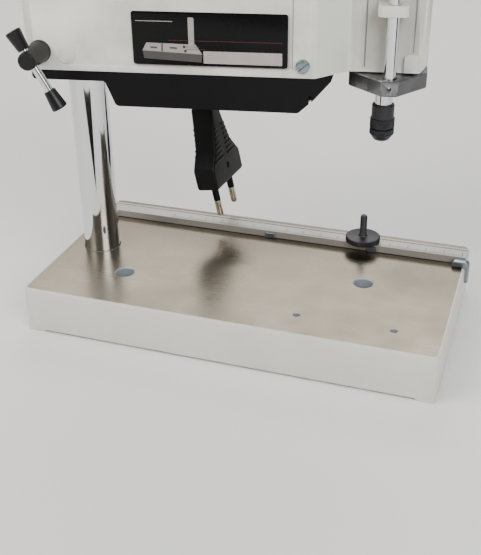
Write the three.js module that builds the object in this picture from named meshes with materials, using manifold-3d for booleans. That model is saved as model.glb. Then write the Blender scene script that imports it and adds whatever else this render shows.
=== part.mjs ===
// Small precision bench drill press: ground cast table, chromed column, belt-driven head
// with a vertical motor, rack-fed quill, depth stop, ruled fence and mains lead.
// Millimetres, +Z up. The origin is on the column's axis, at the level of the bench.
import * as THREE from 'three';
import { mergeVertices } from 'three/addons/utils/BufferGeometryUtils.js';
import Module from 'manifold-3d';

const wasm = await Module();
wasm.setup();

// ---------------------------------------------------------------- driving dimensions
const GAP = 0.3;                    // clearance between separate pieces
const TABLE = { length: 220, width: 120, height: 26, wall: 6, top: 6, corner: 4, foot: 10, footHeight: 1.6 };
const COLUMN = { x: -91.5, radius: 10, bore: 7, foot: 3, top: 286 };
const SWIVEL = THREE.MathUtils.degToRad(9.5);   // how far the head stands turned on the column
const REACH = 154.5;                // column axis to spindle axis
const HEAD = { rear: -21, halfWidth: 30, shoulder: 122, bottom: 137, deck: 190, roof: 236, wall: 4 };
const NOSE = { start: 136.5, end: 174, halfWidth: 16 };
const TRAY = { rim: 132, floor: 119.5, inset: 0.8, rearSlope: 18.5, rear: 22.6, front: 113, end: 130 };
const HOOD_END = 43;                // the fixed hood ends here and the belt cover begins
const HINGE = { x: HOOD_END - 0.15, z: HEAD.roof + 1.8, radius: 2.4, pin: 1.1, hoodLug: 20, coverLug: 11, lug: 4 };
const MOTOR = { x: 68, radius: 22, low: 124, high: 183.7, shaft: 3, shaftTop: 216 };
const QUILL = { radius: 11, low: 128.9, high: 183.5, stroke: 30 };
const SPINDLE = { radius: 5, nose: 4.5, spline: 4, low: 108, top: 229 };
const PINION = { module: 1, teeth: 12, z: 150, halfWidth: 6 };
const YOKE = { low: 128.9, high: 136.5, rod: { x: 2.3, y: -23, radius: 3, top: 214 } };
const LUG = { low: 166, high: 171 };
const CHUCK = { top: 116.6, tip: 97.7, grip: 6.3, plain: 5.7 };
const PULLEY = { low: 191, step: 7, radii: [12, 10, 8], motorRadii: [8, 10, 12], groove: 1.6 };
const BELT = { step: 0, thick: 2.4, height: 3.4 };
// slide: how far the bar hangs below its middle
const CLAMP = { x: -12.6, z: 146.5, hubRadius: 5.5, endRadius: 4.3, face: -30, end: -50, tilt: 28, slide: 6 };
const FEED = { boss: 12.5, bossEnd: 32, hub: 9, hubEnd: 52, armLength: 42, armPhase: 80 };
const GLAND = { x: -6, z: 165, end: 50 };
const FENCE = { left: -104, right: 109.5, near: 36.5, width: 11, height: 4 };
const CORD = { radius: 2.75, coilX: 2, coilInner: 21.5, coilOuter: 38, layers: 3 };
const PLUG = { x: 63.3, y: 37, z: 54.3, tilt: 11.5, turn: 74, width: 35.3, thick: 13.7, body: 42, relief: 62 };

const PINION_X = REACH - 9.8 - PINION.module * PINION.teeth / 2 - 0.25;
const CORD_DIAMETER = 2 * CORD.radius;

// ---------------------------------------------------------------- finishes
const finish = (color, roughness, metalness) => new THREE.MeshStandardMaterial({ color, roughness, metalness });
const ENAMEL = finish(0xdcdcd4, 0.45, 0);
const BLACK = finish(0x17181a, 0.55, 0);
const CHROME = finish(0xd8dadd, 0.12, 1);
const STEEL = finish(0x8f9194, 0.4, 1);
const ALU = finish(0xb9b5ac, 0.35, 1);
const BRASS = finish(0xb08a45, 0.35, 1);
const COPPER = finish(0x9a5a35, 0.5, 0.8);
const RUBBER = finish(0x1b1b1c, 0.85, 0);
const LABEL = finish(0x0e0e10, 0.3, 0);

// ---------------------------------------------------------------- solids
/** A closed three.js geometry as a solid that can be joined and cut. */
function solid(geometry) {
  const bare = geometry.index ? geometry.toNonIndexed() : geometry.clone();
  bare.deleteAttribute('normal');
  bare.deleteAttribute('uv');
  const merged = mergeVertices(bare, 1e-4);
  return new wasm.Manifold(new wasm.Mesh({
    numProp: 3,
    vertProperties: new Float32Array(merged.attributes.position.array),
    triVerts: new Uint32Array(merged.index.array),
  }));
}

/** A solid as a geometry with flat normals. */
function geometryOf(body) {
  const mesh = body.getMesh();
  const geometry = new THREE.BufferGeometry();
  geometry.setAttribute('position', new THREE.BufferAttribute(new Float32Array(mesh.vertProperties), 3));
  geometry.setIndex(new THREE.BufferAttribute(new Uint32Array(mesh.triVerts), 1));
  geometry.computeVertexNormals();
  return geometry;
}

const join = (first, ...others) => others.reduce((body, other) => body.add(solid(other)), solid(first));
const cut = (body, ...tools) => tools.reduce((rest, tool) => rest.subtract(solid(tool)), body);

/** A box between two corners. */
function box(x0, x1, y0, y1, z0, z1) {
  return new THREE.BoxGeometry(x1 - x0, y1 - y0, z1 - z0)
    .translate((x0 + x1) / 2, (y0 + y1) / 2, (z0 + z1) / 2);
}

/** An upright round bar. */
function bar(x, y, z0, z1, radius, sides = 32, topRadius = radius) {
  return new THREE.CylinderGeometry(topRadius, radius, z1 - z0, sides)
    .rotateX(Math.PI / 2).translate(x, y, (z0 + z1) / 2);
}

/** A round bar along Y. */
function crossBar(x, z, y0, y1, radius, sides = 24, endRadius = radius) {
  return new THREE.CylinderGeometry(endRadius, radius, y1 - y0, sides).translate(x, (y0 + y1) / 2, z);
}

/** A turned piece: [radius, height] points about an upright axis. */
function turned(x, y, points, sides = 32) {
  return new THREE.LatheGeometry(points.map(([r, z]) => new THREE.Vector2(r, z)), sides)
    .rotateX(Math.PI / 2).translate(x, y, 0);
}

/** A ring with a square section about an upright axis. */
function ring(x, y, inner, outer, z0, z1, sides = 32) {
  return turned(x, y, [[inner, z0], [outer, z0], [outer, z1], [inner, z1], [inner, z0]], sides);
}

/** A flat outline in plan, extruded between two heights. */
function plate(points, z0, z1) {
  const shape = new THREE.Shape(points.map(([x, y]) => new THREE.Vector2(x, y)));
  return new THREE.ExtrudeGeometry(shape, { depth: z1 - z0, bevelEnabled: false }).translate(0, 0, z0);
}

/** A side outline of [x, z] points, extruded across the width. */
function across(points, y0, y1) {
  const shape = new THREE.Shape(points.map(([x, z]) => new THREE.Vector2(x, z)));
  return new THREE.ExtrudeGeometry(shape, { depth: y1 - y0, bevelEnabled: false })
    .rotateX(Math.PI / 2).translate(0, y1, 0);
}

/** A rectangle in plan with round corners, as a shape. */
function roundedRectangle(x0, x1, y0, y1, r) {
  const shape = new THREE.Shape();
  shape.moveTo(x0 + r, y0);
  shape.lineTo(x1 - r, y0).absarc(x1 - r, y0 + r, r, -Math.PI / 2, 0, false);
  shape.lineTo(x1, y1 - r).absarc(x1 - r, y1 - r, r, 0, Math.PI / 2, false);
  shape.lineTo(x0 + r, y1).absarc(x0 + r, y1 - r, r, Math.PI / 2, Math.PI, false);
  shape.lineTo(x0, y0 + r).absarc(x0 + r, y0 + r, r, Math.PI, Math.PI * 1.5, false);
  return shape;
}

function slab(shape, z0, z1, curveSegments = 5) {
  return new THREE.ExtrudeGeometry(shape, { depth: z1 - z0, bevelEnabled: false, curveSegments }).translate(0, 0, z0);
}

/** A cord's plain tube along a list of points. */
function cordTube(points, steps) {
  const path = new THREE.CatmullRomCurve3(points.map((p) => new THREE.Vector3(...p)), false, 'centripetal');
  const section = new THREE.Shape();
  section.absarc(0, 0, CORD.radius, 0, Math.PI * 2, false);
  return new THREE.ExtrudeGeometry(section, { extrudePath: path, steps, curveSegments: 5, bevelEnabled: false });
}

// ---------------------------------------------------------------- scene
// pieces are placed from the table's centre, and the whole machine is then moved to its origin
const machine = new THREE.Group();
machine.position.x = -COLUMN.x;
const head = new THREE.Group();
head.position.set(COLUMN.x, 0, 0);
head.rotation.z = SWIVEL;
machine.add(head);

function add(group, name, material, body) {
  const mesh = new THREE.Mesh(body.isBufferGeometry ? body : geometryOf(body), material);
  mesh.name = name;
  group.add(mesh);
  return mesh;
}

// ---------------------------------------------------------------- table
const TABLE_HOLE_X = 61;
const SET_SCREW_Z = 12;
const TABLE_HOLES = [
  { x: -65, y: -27, r: 5 }, { x: TABLE_HOLE_X, y: 0, r: 5 },
  { x: 36, y: -41.5, r: 1.8 }, { x: 85, y: -41.5, r: 1.8 },
];

function tableCasting() {
  const { length, width, height, wall, top, corner, foot, footHeight } = TABLE;
  const x = length / 2;
  const y = width / 2;
  const boss = 17;
  let casting = solid(slab(roundedRectangle(-x, x, -y, y, corner), footHeight, height));
  casting = cut(casting, slab(roundedRectangle(-x + wall, x - wall, -y + wall, y - wall, 2), -1, height - top));
  casting = casting.add(solid(bar(COLUMN.x, 0, 0, height - 1, boss, 32)).intersect(solid(box(-x, x, -y, y, -1, height))));
  for (const sx of [-1, 1]) {
    for (const sy of [-1, 1]) {
      const cx = sx * (x - foot / 2 - 0.6);
      const cy = sy * (y - foot / 2 - 0.6);
      casting = casting.add(solid(box(cx - foot / 2, cx + foot / 2, cy - foot / 2, cy + foot / 2, 0, height - 1)));
    }
  }
  casting = cut(casting, bar(COLUMN.x, 0, COLUMN.foot, height + 1, COLUMN.radius + GAP, 40));
  for (const hole of TABLE_HOLES) casting = cut(casting, bar(hole.x, hole.y, -1, height + 1, hole.r, hole.r > 3 ? 24 : 12));
  // the painted strips under the fence and round the column lie just below the ground face
  casting = cut(casting, box(-x - 1, x + 1, FENCE.near - 5.5, y + 1, height - 0.1, height + 1),
    box(-x - 1, COLUMN.x + 16, -y - 1, y + 1, height - 0.1, height + 1));
  // the grub screw's threaded hole runs in from the short side
  const screwHole = bar(0, 0, 0, 20, 2.5 + GAP, 16).rotateY(-Math.PI / 2).translate(COLUMN.x - COLUMN.radius + 1, 0, SET_SCREW_Z);
  return cut(casting, screwHole);
}

add(machine, 'table_casting', ENAMEL, tableCasting());
add(machine, 'column_grub_screw', STEEL, bar(0, 0, 0, 6.5, 2.5, 12).rotateY(-Math.PI / 2).translate(COLUMN.x - COLUMN.radius - 0.6, 0, SET_SCREW_Z));

// ---------------------------------------------------------------- column
add(machine, 'column', CHROME, ring(COLUMN.x, 0, COLUMN.bore, COLUMN.radius, COLUMN.foot + GAP, COLUMN.top, 40));
add(machine, 'column_cap', BLACK, turned(COLUMN.x, 0, [
  [0, COLUMN.top - 8], [COLUMN.bore - 0.2, COLUMN.top - 8], [COLUMN.bore - 0.2, COLUMN.top + GAP],
  [COLUMN.radius - 0.2, COLUMN.top + GAP], [COLUMN.radius - 1.2, COLUMN.top + 2.3], [0, COLUMN.top + 2.3]], 28));

// ---------------------------------------------------------------- fence
const FENCE_Z = TABLE.height + GAP;
function fenceRail() {
  const far = FENCE.near + FENCE.width;
  const rail = plate([[FENCE.left, FENCE.near], [FENCE.right, FENCE.near], [FENCE.right, far], [FENCE.left, far]],
    FENCE_Z, FENCE_Z + FENCE.height);
  const pads = [-1.5, 58].map((x) => box(x - 3, x + 3, FENCE.near - 1.2, FENCE.near + 1, FENCE_Z, FENCE_Z + 3));
  const groove = box(FENCE.left - 1, FENCE.right + 1, far - 2.6, far - 1.8, FENCE_Z + FENCE.height - 0.6, FENCE_Z + FENCE.height + 1);
  return cut(join(rail, ...pads), groove);
}

function fenceClip(side) {
  const edge = TABLE.length / 2 + GAP;
  const inner = 5.5;
  const top = box(edge - inner - 2, edge + 1.8, FENCE.near - 4.8, FENCE.near - GAP, FENCE_Z, FENCE_Z + 3.2);
  const leg = box(edge, edge + 1.8, FENCE.near - 4.8, FENCE.near - GAP, FENCE_Z - 9, FENCE_Z + 1);
  const body = geometryOf(join(top, leg));
  return side > 0 ? body : body.clone().rotateZ(Math.PI).translate(0, 2 * FENCE.near - 5.1, 0);
}

add(machine, 'fence_rail', ALU, fenceRail());
add(machine, 'fence_clip_right', STEEL, fenceClip(1));
add(machine, 'fence_clip_left', STEEL, fenceClip(-1));
add(machine, 'fence_thumb_screw', BLACK, turned(51.8, 40, [
  [0, 0], [9, 0], [9.6, 0.6], [9.6, 2.6], [9, 3.2], [2, 3.2], [2, 15], [1.2, 16], [0, 16]], 24)
  .translate(0, 0, FENCE_Z + FENCE.height + GAP));

// ---------------------------------------------------------------- head housing
/** The head's outline in plan, shrunk by an inset, between two places along its length. */
function headOutline(inset, end = NOSE.end, start = HEAD.rear) {
  const w = HEAD.halfWidth - inset;
  const n = NOSE.halfWidth - inset;
  const corner = start === HEAD.rear ? 4 : 0;
  const first = start + inset;
  const last = end - inset;
  const near = corner ? [[first, -w + corner], [first + corner, -w]] : [[first, -w]];
  if (last <= HEAD.shoulder) {
    near.push([last, -w]);
  } else if (last <= NOSE.start) {
    near.push([HEAD.shoulder, -w], [last, -w + (last - HEAD.shoulder) * (w - n) / (NOSE.start - HEAD.shoulder)]);
  } else {
    near.push([HEAD.shoulder, -w], [NOSE.start, -n], [last - 3, -n], [last, -n + 3]);
  }
  return [...near, ...near.map(([x, y]) => [x, -y]).reverse()];
}

function headCasting() {
  const { bottom, deck, halfWidth, wall } = HEAD;
  const chamber = plate([[22, -halfWidth + wall], [116, -halfWidth + wall], [116, halfWidth - wall], [22, halfWidth - wall]],
    bottom - 1, deck - 6);
  let casting = solid(plate(headOutline(0), bottom, deck));
  // the foot of the nose is bevelled at the front
  casting = cut(casting, across([[NOSE.end + 1, bottom - 1], [NOSE.end + 1, bottom + 5], [NOSE.end - 4.5, bottom - 1]], -20, 20));
  casting = casting.add(solid(crossBar(PINION_X, PINION.z, 8, FEED.bossEnd, FEED.boss, 28)));
  casting = casting.add(solid(box(REACH - 5, REACH + 9, YOKE.rod.y - 5, -NOSE.halfWidth + 1, LUG.low, LUG.high)));
  casting = casting.add(solid(crossBar(0, 144.7, -halfWidth - 0.5, -halfWidth + 1, 4.1, 32)));
  casting = casting.add(solid(across([[163, 137.5], [169.5, 137.5], [169.5, 146.5], [164.5, 146.5], [163, 145]],
    -NOSE.halfWidth - 1.6, -NOSE.halfWidth + 1)));
  for (const x of [144.3, 166.9]) {
    casting = cut(casting, box(x - 0.4, x + 0.4, -NOSE.halfWidth - 0.1, -NOSE.halfWidth + 1.2, x > 160 ? 147 : bottom + 2.5, deck + 1));
  }
  for (const side of [-1, 1]) {
    const y = side * halfWidth;
    casting = cut(casting, box(110.7, 111.5, y - 0.8, y + 0.8, 141.5, deck + 1));
  }
  return cut(casting, chamber,
    bar(0, 0, bottom - 1, deck + 1, COLUMN.radius + GAP, 32),
    box(HEAD.rear - 1, -8, -1, 1, bottom - 1, deck + 1),
    crossBar(CLAMP.x, CLAMP.z, -halfWidth - 1, halfWidth + 1, 2.8, 20),
    bar(MOTOR.x, 0, deck - 7, deck + 1, 8, 32),
    bar(REACH, 0, bottom - 1, 184.5, QUILL.radius + GAP, 32),
    bar(REACH, 0, 184, 185.2, 8.4, 24),
    bar(REACH, 0, 185, deck + 1, 12 + GAP, 32),
    crossBar(PINION_X, PINION.z, -9, 9, 7.6, 32),
    crossBar(PINION_X, PINION.z, -12.5, FEED.bossEnd + 1, 4 + GAP, 24),
    crossBar(PINION_X, PINION.z, FEED.bossEnd - 7, FEED.bossEnd + 1, 11, 32),
    bar(REACH + YOKE.rod.x, YOKE.rod.y, LUG.low - 1, LUG.high + 1, YOKE.rod.radius + GAP, 24),
    crossBar(GLAND.x, GLAND.z, halfWidth - 7, halfWidth + 1, 4.2, 24),
    box(88, 104, halfWidth - wall - 1, halfWidth + 1, 158, 172),
    ...SIDE_SCREWS.map(({ x, z, side }) => crossBar(x, z, side > 0 ? 24 : -31, side > 0 ? 31 : -24, 1.9, 12)));
}

const SIDE_SCREWS = [{ x: 116.3, z: 143.2, side: -1 }, { x: 116.3, z: 184, side: -1 }];

/** The black tray that closes the head from below and hangs down around the motor. */
function bottomTray() {
  const side = [
    [HEAD.rear, HEAD.bottom - GAP], [HEAD.rear, TRAY.rim + 2.6], [HEAD.rear + 3, TRAY.rim], [TRAY.rearSlope, TRAY.rim],
    [TRAY.rear - 0.6, TRAY.floor + 2], [TRAY.rear + 1.4, TRAY.floor], [TRAY.front, TRAY.floor],
    [TRAY.front + 3, TRAY.floor + 1.6], [TRAY.end - 1, TRAY.rim + 1.5], [TRAY.end, HEAD.bottom - GAP]];
  let tray = solid(across(side, -HEAD.halfWidth, HEAD.halfWidth))
    .intersect(solid(plate(headOutline(TRAY.inset, TRAY.end + TRAY.inset), TRAY.floor - 1, HEAD.bottom)));
  const well = across([[26, HEAD.bottom + 1], [26.5, TRAY.floor + 3], [110, TRAY.floor + 3], [117, HEAD.bottom + 1]], -25, 25);
  tray = cut(tray, well, bar(0, 0, TRAY.rim - 1, HEAD.bottom + 1, COLUMN.radius + 1, 48));
  for (let i = 0; i < 6; i += 1) {
    tray = cut(tray, box(50 + 7 * i, 53 + 7 * i, -14, 14, TRAY.floor - 1, TRAY.floor + 4));
  }
  return tray;
}

/** The fixed hood over the rear of the deck: the column passes through its roof. */
function rearHood() {
  const { deck, roof, halfWidth } = HEAD;
  const thick = 2.5;
  const outer = solid(plate(headOutline(0, HOOD_END), deck + GAP, roof))
    .intersect(solid(box(HEAD.rear, HOOD_END - GAP, -halfWidth, halfWidth, deck, roof + 1)));
  const inner = box(HEAD.rear + thick, HOOD_END + 1, -halfWidth + thick, halfWidth - thick, deck - 1, roof - thick);
  const sleeve = bar(0, 0, deck + GAP, roof - 1, COLUMN.radius + 3, 32);
  let hood = cut(outer, inner).add(solid(sleeve));
  for (const y of [-HINGE.hoodLug, HINGE.hoodLug]) hood = hood.add(solid(hingeBarrel(y, 0)));
  for (const y of [-HINGE.coverLug, HINGE.coverLug]) hood = hood.subtract(solid(hingeBarrel(y, GAP)));
  return cut(hood, bar(0, 0, deck - 1, roof + 1, COLUMN.radius + GAP, 32), hingeBore());
}

const hingeBarrel = (y, gap) => crossBar(HINGE.x, HINGE.z, y - HINGE.lug - gap, y + HINGE.lug + gap, HINGE.radius + gap, 20);
const hingeBore = () => crossBar(HINGE.x, HINGE.z, -26, 26, HINGE.pin + 0.2, 16);

/** The belt cover: a lid over both pulleys that tips up on a pin at its rear edge. */
function beltCover() {
  const { deck, roof, halfWidth } = HEAD;
  const thick = 2.5;
  const outer = solid(plate(headOutline(0, NOSE.end, HOOD_END), deck + GAP, roof));
  const inner = solid(plate(headOutline(thick, NOSE.end, HOOD_END - 8), deck - 1, roof - thick));
  let cover = outer.subtract(inner);
  for (const y of [-HINGE.coverLug, HINGE.coverLug]) cover = cover.add(solid(hingeBarrel(y, 0)));
  for (const y of [-HINGE.hoodLug, HINGE.hoodLug]) cover = cover.subtract(solid(hingeBarrel(y, GAP)));
  return cut(cover, hingeBore());
}

add(head, 'head_casting', ENAMEL, headCasting());
add(head, 'bottom_tray', BLACK, bottomTray());
add(head, 'rear_hood', ENAMEL, rearHood());
add(head, 'belt_cover', ENAMEL, beltCover());
add(head, 'hinge_pin', STEEL, crossBar(HINGE.x, HINGE.z, -25, 25, HINGE.pin, 16));
add(head, 'label_plate', LABEL, box(34.4, 109.1, -HEAD.halfWidth - 0.8, -HEAD.halfWidth - GAP, 141.8, 167));

SIDE_SCREWS.forEach(({ x, z, side }, i) => {
  const y = side * (HEAD.halfWidth + GAP);
  const shank = crossBar(x, z, Math.min(y, side * 25), Math.max(y, side * 25), 1.6, 12);
  const knob = crossBar(x, z, Math.min(y, y + side * 2), Math.max(y, y + side * 2), 3.25, 24);
  const slot = box(x - 4, x + 4, Math.min(y + side, y + 3 * side), Math.max(y + side, y + 3 * side), z - 0.5, z + 0.5);
  slot.translate(-x, 0, -z).rotateY(-0.7).translate(x, 0, z);
  add(head, `side_screw_${i + 1}`, STEEL, cut(join(knob, shank), slot));
});

// ---------------------------------------------------------------- switch and cable gland
add(head, 'switch_body', BLACK, cut(join(
  box(86.5, 105.5, HEAD.halfWidth + GAP, HEAD.halfWidth + 2.3, 156.5, 173.5),
  box(88.5, 103.5, HEAD.halfWidth - 9, HEAD.halfWidth + 1, 158.5, 171.5)),
  box(90.5, 101.5, HEAD.halfWidth - 6, HEAD.halfWidth + 3, 160, 170)));
add(head, 'switch_rocker', BLACK, across([[91.4, 161], [100.6, 161], [100.6, 169], [91.4, 169]],
  HEAD.halfWidth - 3, HEAD.halfWidth + 3));
add(head, 'cable_gland', RUBBER, cut(join(
  crossBar(GLAND.x, GLAND.z, HEAD.halfWidth - 6, HEAD.halfWidth + 1, 3.9, 24),
  crossBar(GLAND.x, GLAND.z, HEAD.halfWidth + GAP, HEAD.halfWidth + 3, 6, 24),
  crossBar(GLAND.x, GLAND.z, HEAD.halfWidth + 2, GLAND.end, 4.8, 24, 3.5)),
  crossBar(GLAND.x, GLAND.z, GLAND.end - 3, GLAND.end + 1, CORD.radius + GAP, 20)));

// ---------------------------------------------------------------- motor
// ---------------------------------------------------------------- motor
function motor() {
  const { x, radius, low, high, shaft, shaftTop } = MOTOR;
  const wall = 1.8;
  const seat = 5.8;
  add(head, 'motor_can', STEEL, turned(x, 0, [
    [0, low], [radius, low], [radius, high - 5], [radius - wall, high - 5], [radius - wall, low + 2],
    [7.5, low + 2], [7.5, low + 6], [seat, low + 6], [seat, low + 1.5], [0, low + 1.5]], 28));
  add(head, 'motor_end_plate', ALU, turned(x, 0, [
    [seat, high - 4.7], [radius, high - 4.7], [radius, high], [3.8, high], [3.8, high - 0.7],
    [seat, high - 0.7], [seat, high - 4.7]], 28));
  add(head, 'motor_stator', STEEL, ring(x, 0, 12, radius - wall - GAP, low + 9, high - 13, 24));
  add(head, 'motor_bearing_lower', STEEL, ring(x, 0, shaft + 0.1, seat - 0.2, low + 1.8, low + 5.8, 16));
  add(head, 'motor_bearing_upper', STEEL, ring(x, 0, shaft + 0.1, seat - 0.2, high - 4.7, high - 1, 16));
  add(head, 'motor_shaft', STEEL, bar(x, 0, low + 1.8, shaftTop, shaft, 24));
  add(head, 'motor_rotor', COPPER, ring(x, 0, shaft + 0.1, 11.5, low + 10, high - 14, 24));
}

/** The outline of a stepped pulley from its bore out: each step has a groove for the belt. */
function pulleyProfile(radii, bore, foot) {
  const { low, step, groove } = PULLEY;
  const outside = radii.flatMap((r, i) => {
    const z = low + i * step;
    return [[r, z], [r - groove, z + 1.2], [r - groove, z + step - 1.2], [r, z + step]];
  });
  const end = low + radii.length * step;
  const profile = outside.map(([r, z], i) => (i && outside[i - 1][1] === z ? [r, z + 0.01] : [r, z]));
  return [...foot, ...profile, [bore, end], foot[0]];
}

/** The belt's loop round both pulleys, at a given height above the bottom of their grooves. */
function beltOutline(path, above) {
  const large = PULLEY.radii[BELT.step] - PULLEY.groove + above;
  const small = PULLEY.motorRadii[BELT.step] - PULLEY.groove + above;
  const touch = Math.acos((large - small) / (REACH - MOTOR.x));
  path.absarc(REACH, 0, large, -touch, touch, false);
  path.absarc(MOTOR.x, 0, small, touch, Math.PI * 2 - touch, false);
  return path;
}

function belt() {
  const outline = beltOutline(new THREE.Shape(), GAP + BELT.thick);
  outline.holes.push(beltOutline(new THREE.Path(), GAP));
  const z = PULLEY.low + BELT.step * PULLEY.step + (PULLEY.step - BELT.height) / 2;
  add(head, 'drive_belt', RUBBER, slab(outline, z, z + BELT.height, 9));
}

function pulleys() {
  const hub = 7.3;
  add(head, 'motor_pulley', ALU, turned(MOTOR.x, 0, pulleyProfile(PULLEY.motorRadii, MOTOR.shaft + 0.1,
    [[MOTOR.shaft + 0.1, PULLEY.low]]), 24));
  add(head, 'spindle_pulley', ALU, turned(REACH, 0, pulleyProfile(PULLEY.radii, SPINDLE.spline + GAP,
    [[SPINDLE.spline + GAP, 185.5], [hub, 185.5], [hub, PULLEY.low]]), 24));
  add(head, 'pulley_bearing', STEEL, ring(REACH, 0, hub + 0.2, 12.1, 185.5, 189.8, 24));
  belt();
}

// ---------------------------------------------------------------- quill, spindle and chuck
const TOOTH_PITCH = Math.PI * PINION.module;
const BEARING = { inner: 5.1, outer: 9.4, height: 5 };

function quill() {
  const { radius, low, high } = QUILL;
  const seat = BEARING.outer + 0.2;
  const depth = BEARING.height + 0.8;
  let body = solid(turned(REACH, 0, [
    [seat, low], [radius, low], [radius, high], [seat, high], [seat, high - depth], [5.6, high - depth],
    [5.6, low + depth], [seat, low + depth], [seat, low]], 32));
  const flat = REACH - 8.6;
  const first = PINION.z - 2 * TOOTH_PITCH;
  // gaps are cut where the pinion's teeth enter, one of them facing the pinion's centre line
  body = cut(body, box(REACH - radius - 1, REACH - 10.6, -radius, radius, first - TOOTH_PITCH, high + 1));
  for (let z = first; z < high - 1; z += TOOTH_PITCH) {
    body = cut(body, across([[flat, z - 0.65], [flat, z + 0.65], [REACH - 12, z + 1.5], [REACH - 12, z - 1.5]], -radius, radius));
  }
  return body;
}

function spindle() {
  const { radius, nose, spline, low, top } = SPINDLE;
  const shoulder = 5.6;
  add(head, 'spindle', CHROME, turned(REACH, 0, [
    [0, low], [nose, low], [nose, 122], [shoulder - 0.6, 122.6], [shoulder - 0.6, 129.1], [radius, 129.1],
    [radius, 183.6], [spline, 184.6], [spline, top - 1], [spline - 1, top], [0, top]], 24));
  add(head, 'quill_bearing_lower', STEEL, ring(REACH, 0, BEARING.inner, BEARING.outer, QUILL.low + 0.4, QUILL.low + 5.4, 24));
  add(head, 'quill_bearing_upper', STEEL, ring(REACH, 0, BEARING.inner, BEARING.outer, QUILL.high - 5.4, QUILL.high - 0.4, 24));
}

function chuck() {
  const { top, tip, grip, plain } = CHUCK;
  add(head, 'chuck_body', BLACK, turned(REACH, 0, [
    [2.9, tip + 1.5], [3, tip + 7], [grip, tip + 7.2], [grip, top - 7.4], [plain, top - 7], [plain, top - 0.6], [plain - 0.4, top],
    [SPINDLE.nose + GAP, top], [SPINDLE.nose + GAP, SPINDLE.low - GAP], [2.2, SPINDLE.low - 1],
    [2.2, tip + 1.5], [2.9, tip + 1.5]], 24));
  add(head, 'collet', STEEL, ring(REACH, 0, 0.9, 1.9, tip + 0.2, tip + 9, 20));
  add(head, 'chuck_nut', BLACK, turned(REACH, 0, [
    [3.3, tip + 0.6], [3.6, tip], [4, tip + 0.3], [grip - 0.1, tip + 3.4], [grip, tip + 6.9], [3.3, tip + 6.7],
    [3.3, tip + 0.6]], 24));
}

// ---------------------------------------------------------------- yoke and depth stop
function depthStop() {
  const rod = YOKE.rod;
  const x = REACH + rod.x;
  const outline = [[x - 3.9, rod.y - 5], [x + 3.9, rod.y - 5], [REACH + 20, -12], [REACH + 20, 6], [REACH + 13.5, 13],
    [REACH - 13, 13], [REACH - 17.5, 8], [REACH - 17.5, -12]];
  add(head, 'quill_yoke', STEEL, cut(solid(plate(outline, YOKE.low, YOKE.high)),
    bar(REACH, 0, YOKE.low - 1, YOKE.high + 1, QUILL.radius + GAP, 32),
    bar(x, rod.y, YOKE.low - 1, YOKE.high + 1, rod.radius + GAP, 24),
    crossBar(x, (YOKE.low + YOKE.high) / 2, rod.y - 6, rod.y - 1, 1, 12)));
  add(head, 'stop_rod', CHROME, bar(x, rod.y, YOKE.low + GAP, rod.top, rod.radius, 24));
  const first = LUG.high + QUILL.stroke + GAP;
  for (const [i, z] of [first, first + 4.8].entries()) {
    add(head, `stop_nut_${i + 1}`, BRASS, ring(x, rod.y, rod.radius + 0.2, 5.4, z, z + 4.5, 24));
  }
}

// ---------------------------------------------------------------- feed
function pinionShaft() {
  const { module, teeth, halfWidth, z } = PINION;
  const pitchRadius = module * teeth / 2;
  const root = pitchRadius - 1.25 * module;
  const tip = pitchRadius + 0.75 * module;
  let body = join(crossBar(PINION_X, z, -12, FEED.hubEnd - 3, 4, 24), crossBar(PINION_X, z, -halfWidth, halfWidth, root, 24));
  for (let i = 0; i < teeth; i += 1) {
    const tooth = across([[root - 1, -0.75], [pitchRadius, -0.5], [tip, -0.3], [tip, 0.3], [pitchRadius, 0.5], [root - 1, 0.75]],
      -halfWidth, halfWidth);
    body = body.add(solid(tooth.rotateY(i * 2 * Math.PI / teeth).translate(PINION_X, 0, z)));
  }
  return body;
}

function feed() {
  const { bossEnd, hub, hubEnd, armLength, armPhase } = FEED;
  add(head, 'feed_pinion_shaft', STEEL, pinionShaft());
  add(head, 'return_spring', STEEL, geometryOf(cut(solid(crossBar(PINION_X, PINION.z, bossEnd - 6.5, bossEnd - 1.5, 10.5, 20)),
    crossBar(PINION_X, PINION.z, bossEnd - 8, bossEnd, 5.5, 20))));
  add(head, 'spring_cover', STEEL, cut(solid(crossBar(PINION_X, PINION.z, bossEnd + GAP, bossEnd + 2, 12.5, 28)),
    crossBar(PINION_X, PINION.z, bossEnd, bossEnd + 3, 4.4, 24)));
  const middle = (bossEnd + 2.5 + hubEnd) / 2;
  let wheel = cut(solid(crossBar(PINION_X, PINION.z, bossEnd + 2.5, hubEnd, hub, 24, hub - 1)),
    crossBar(PINION_X, PINION.z, bossEnd, hubEnd - 2.5, 4.2, 24));
  for (let i = 0; i < 3; i += 1) {
    const turn = THREE.MathUtils.degToRad(armPhase + 120 * i);
    const place = (g) => g.rotateY(Math.PI / 2 - turn).translate(PINION_X, middle, PINION.z);
    wheel = wheel.subtract(solid(place(bar(0, 0, 5, hub + 2, 2.8, 12))));
    const knobAt = armLength - 5;
    const knob = new THREE.SphereGeometry(5.5, 12, 8).translate(0, 0, knobAt);
    add(head, `feed_arm_${i + 1}`, BLACK, join(place(bar(0, 0, 5.4, knobAt, 2.5, 12)), place(knob)));
  }
  add(head, 'feed_hub', BLACK, wheel);
}

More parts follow.
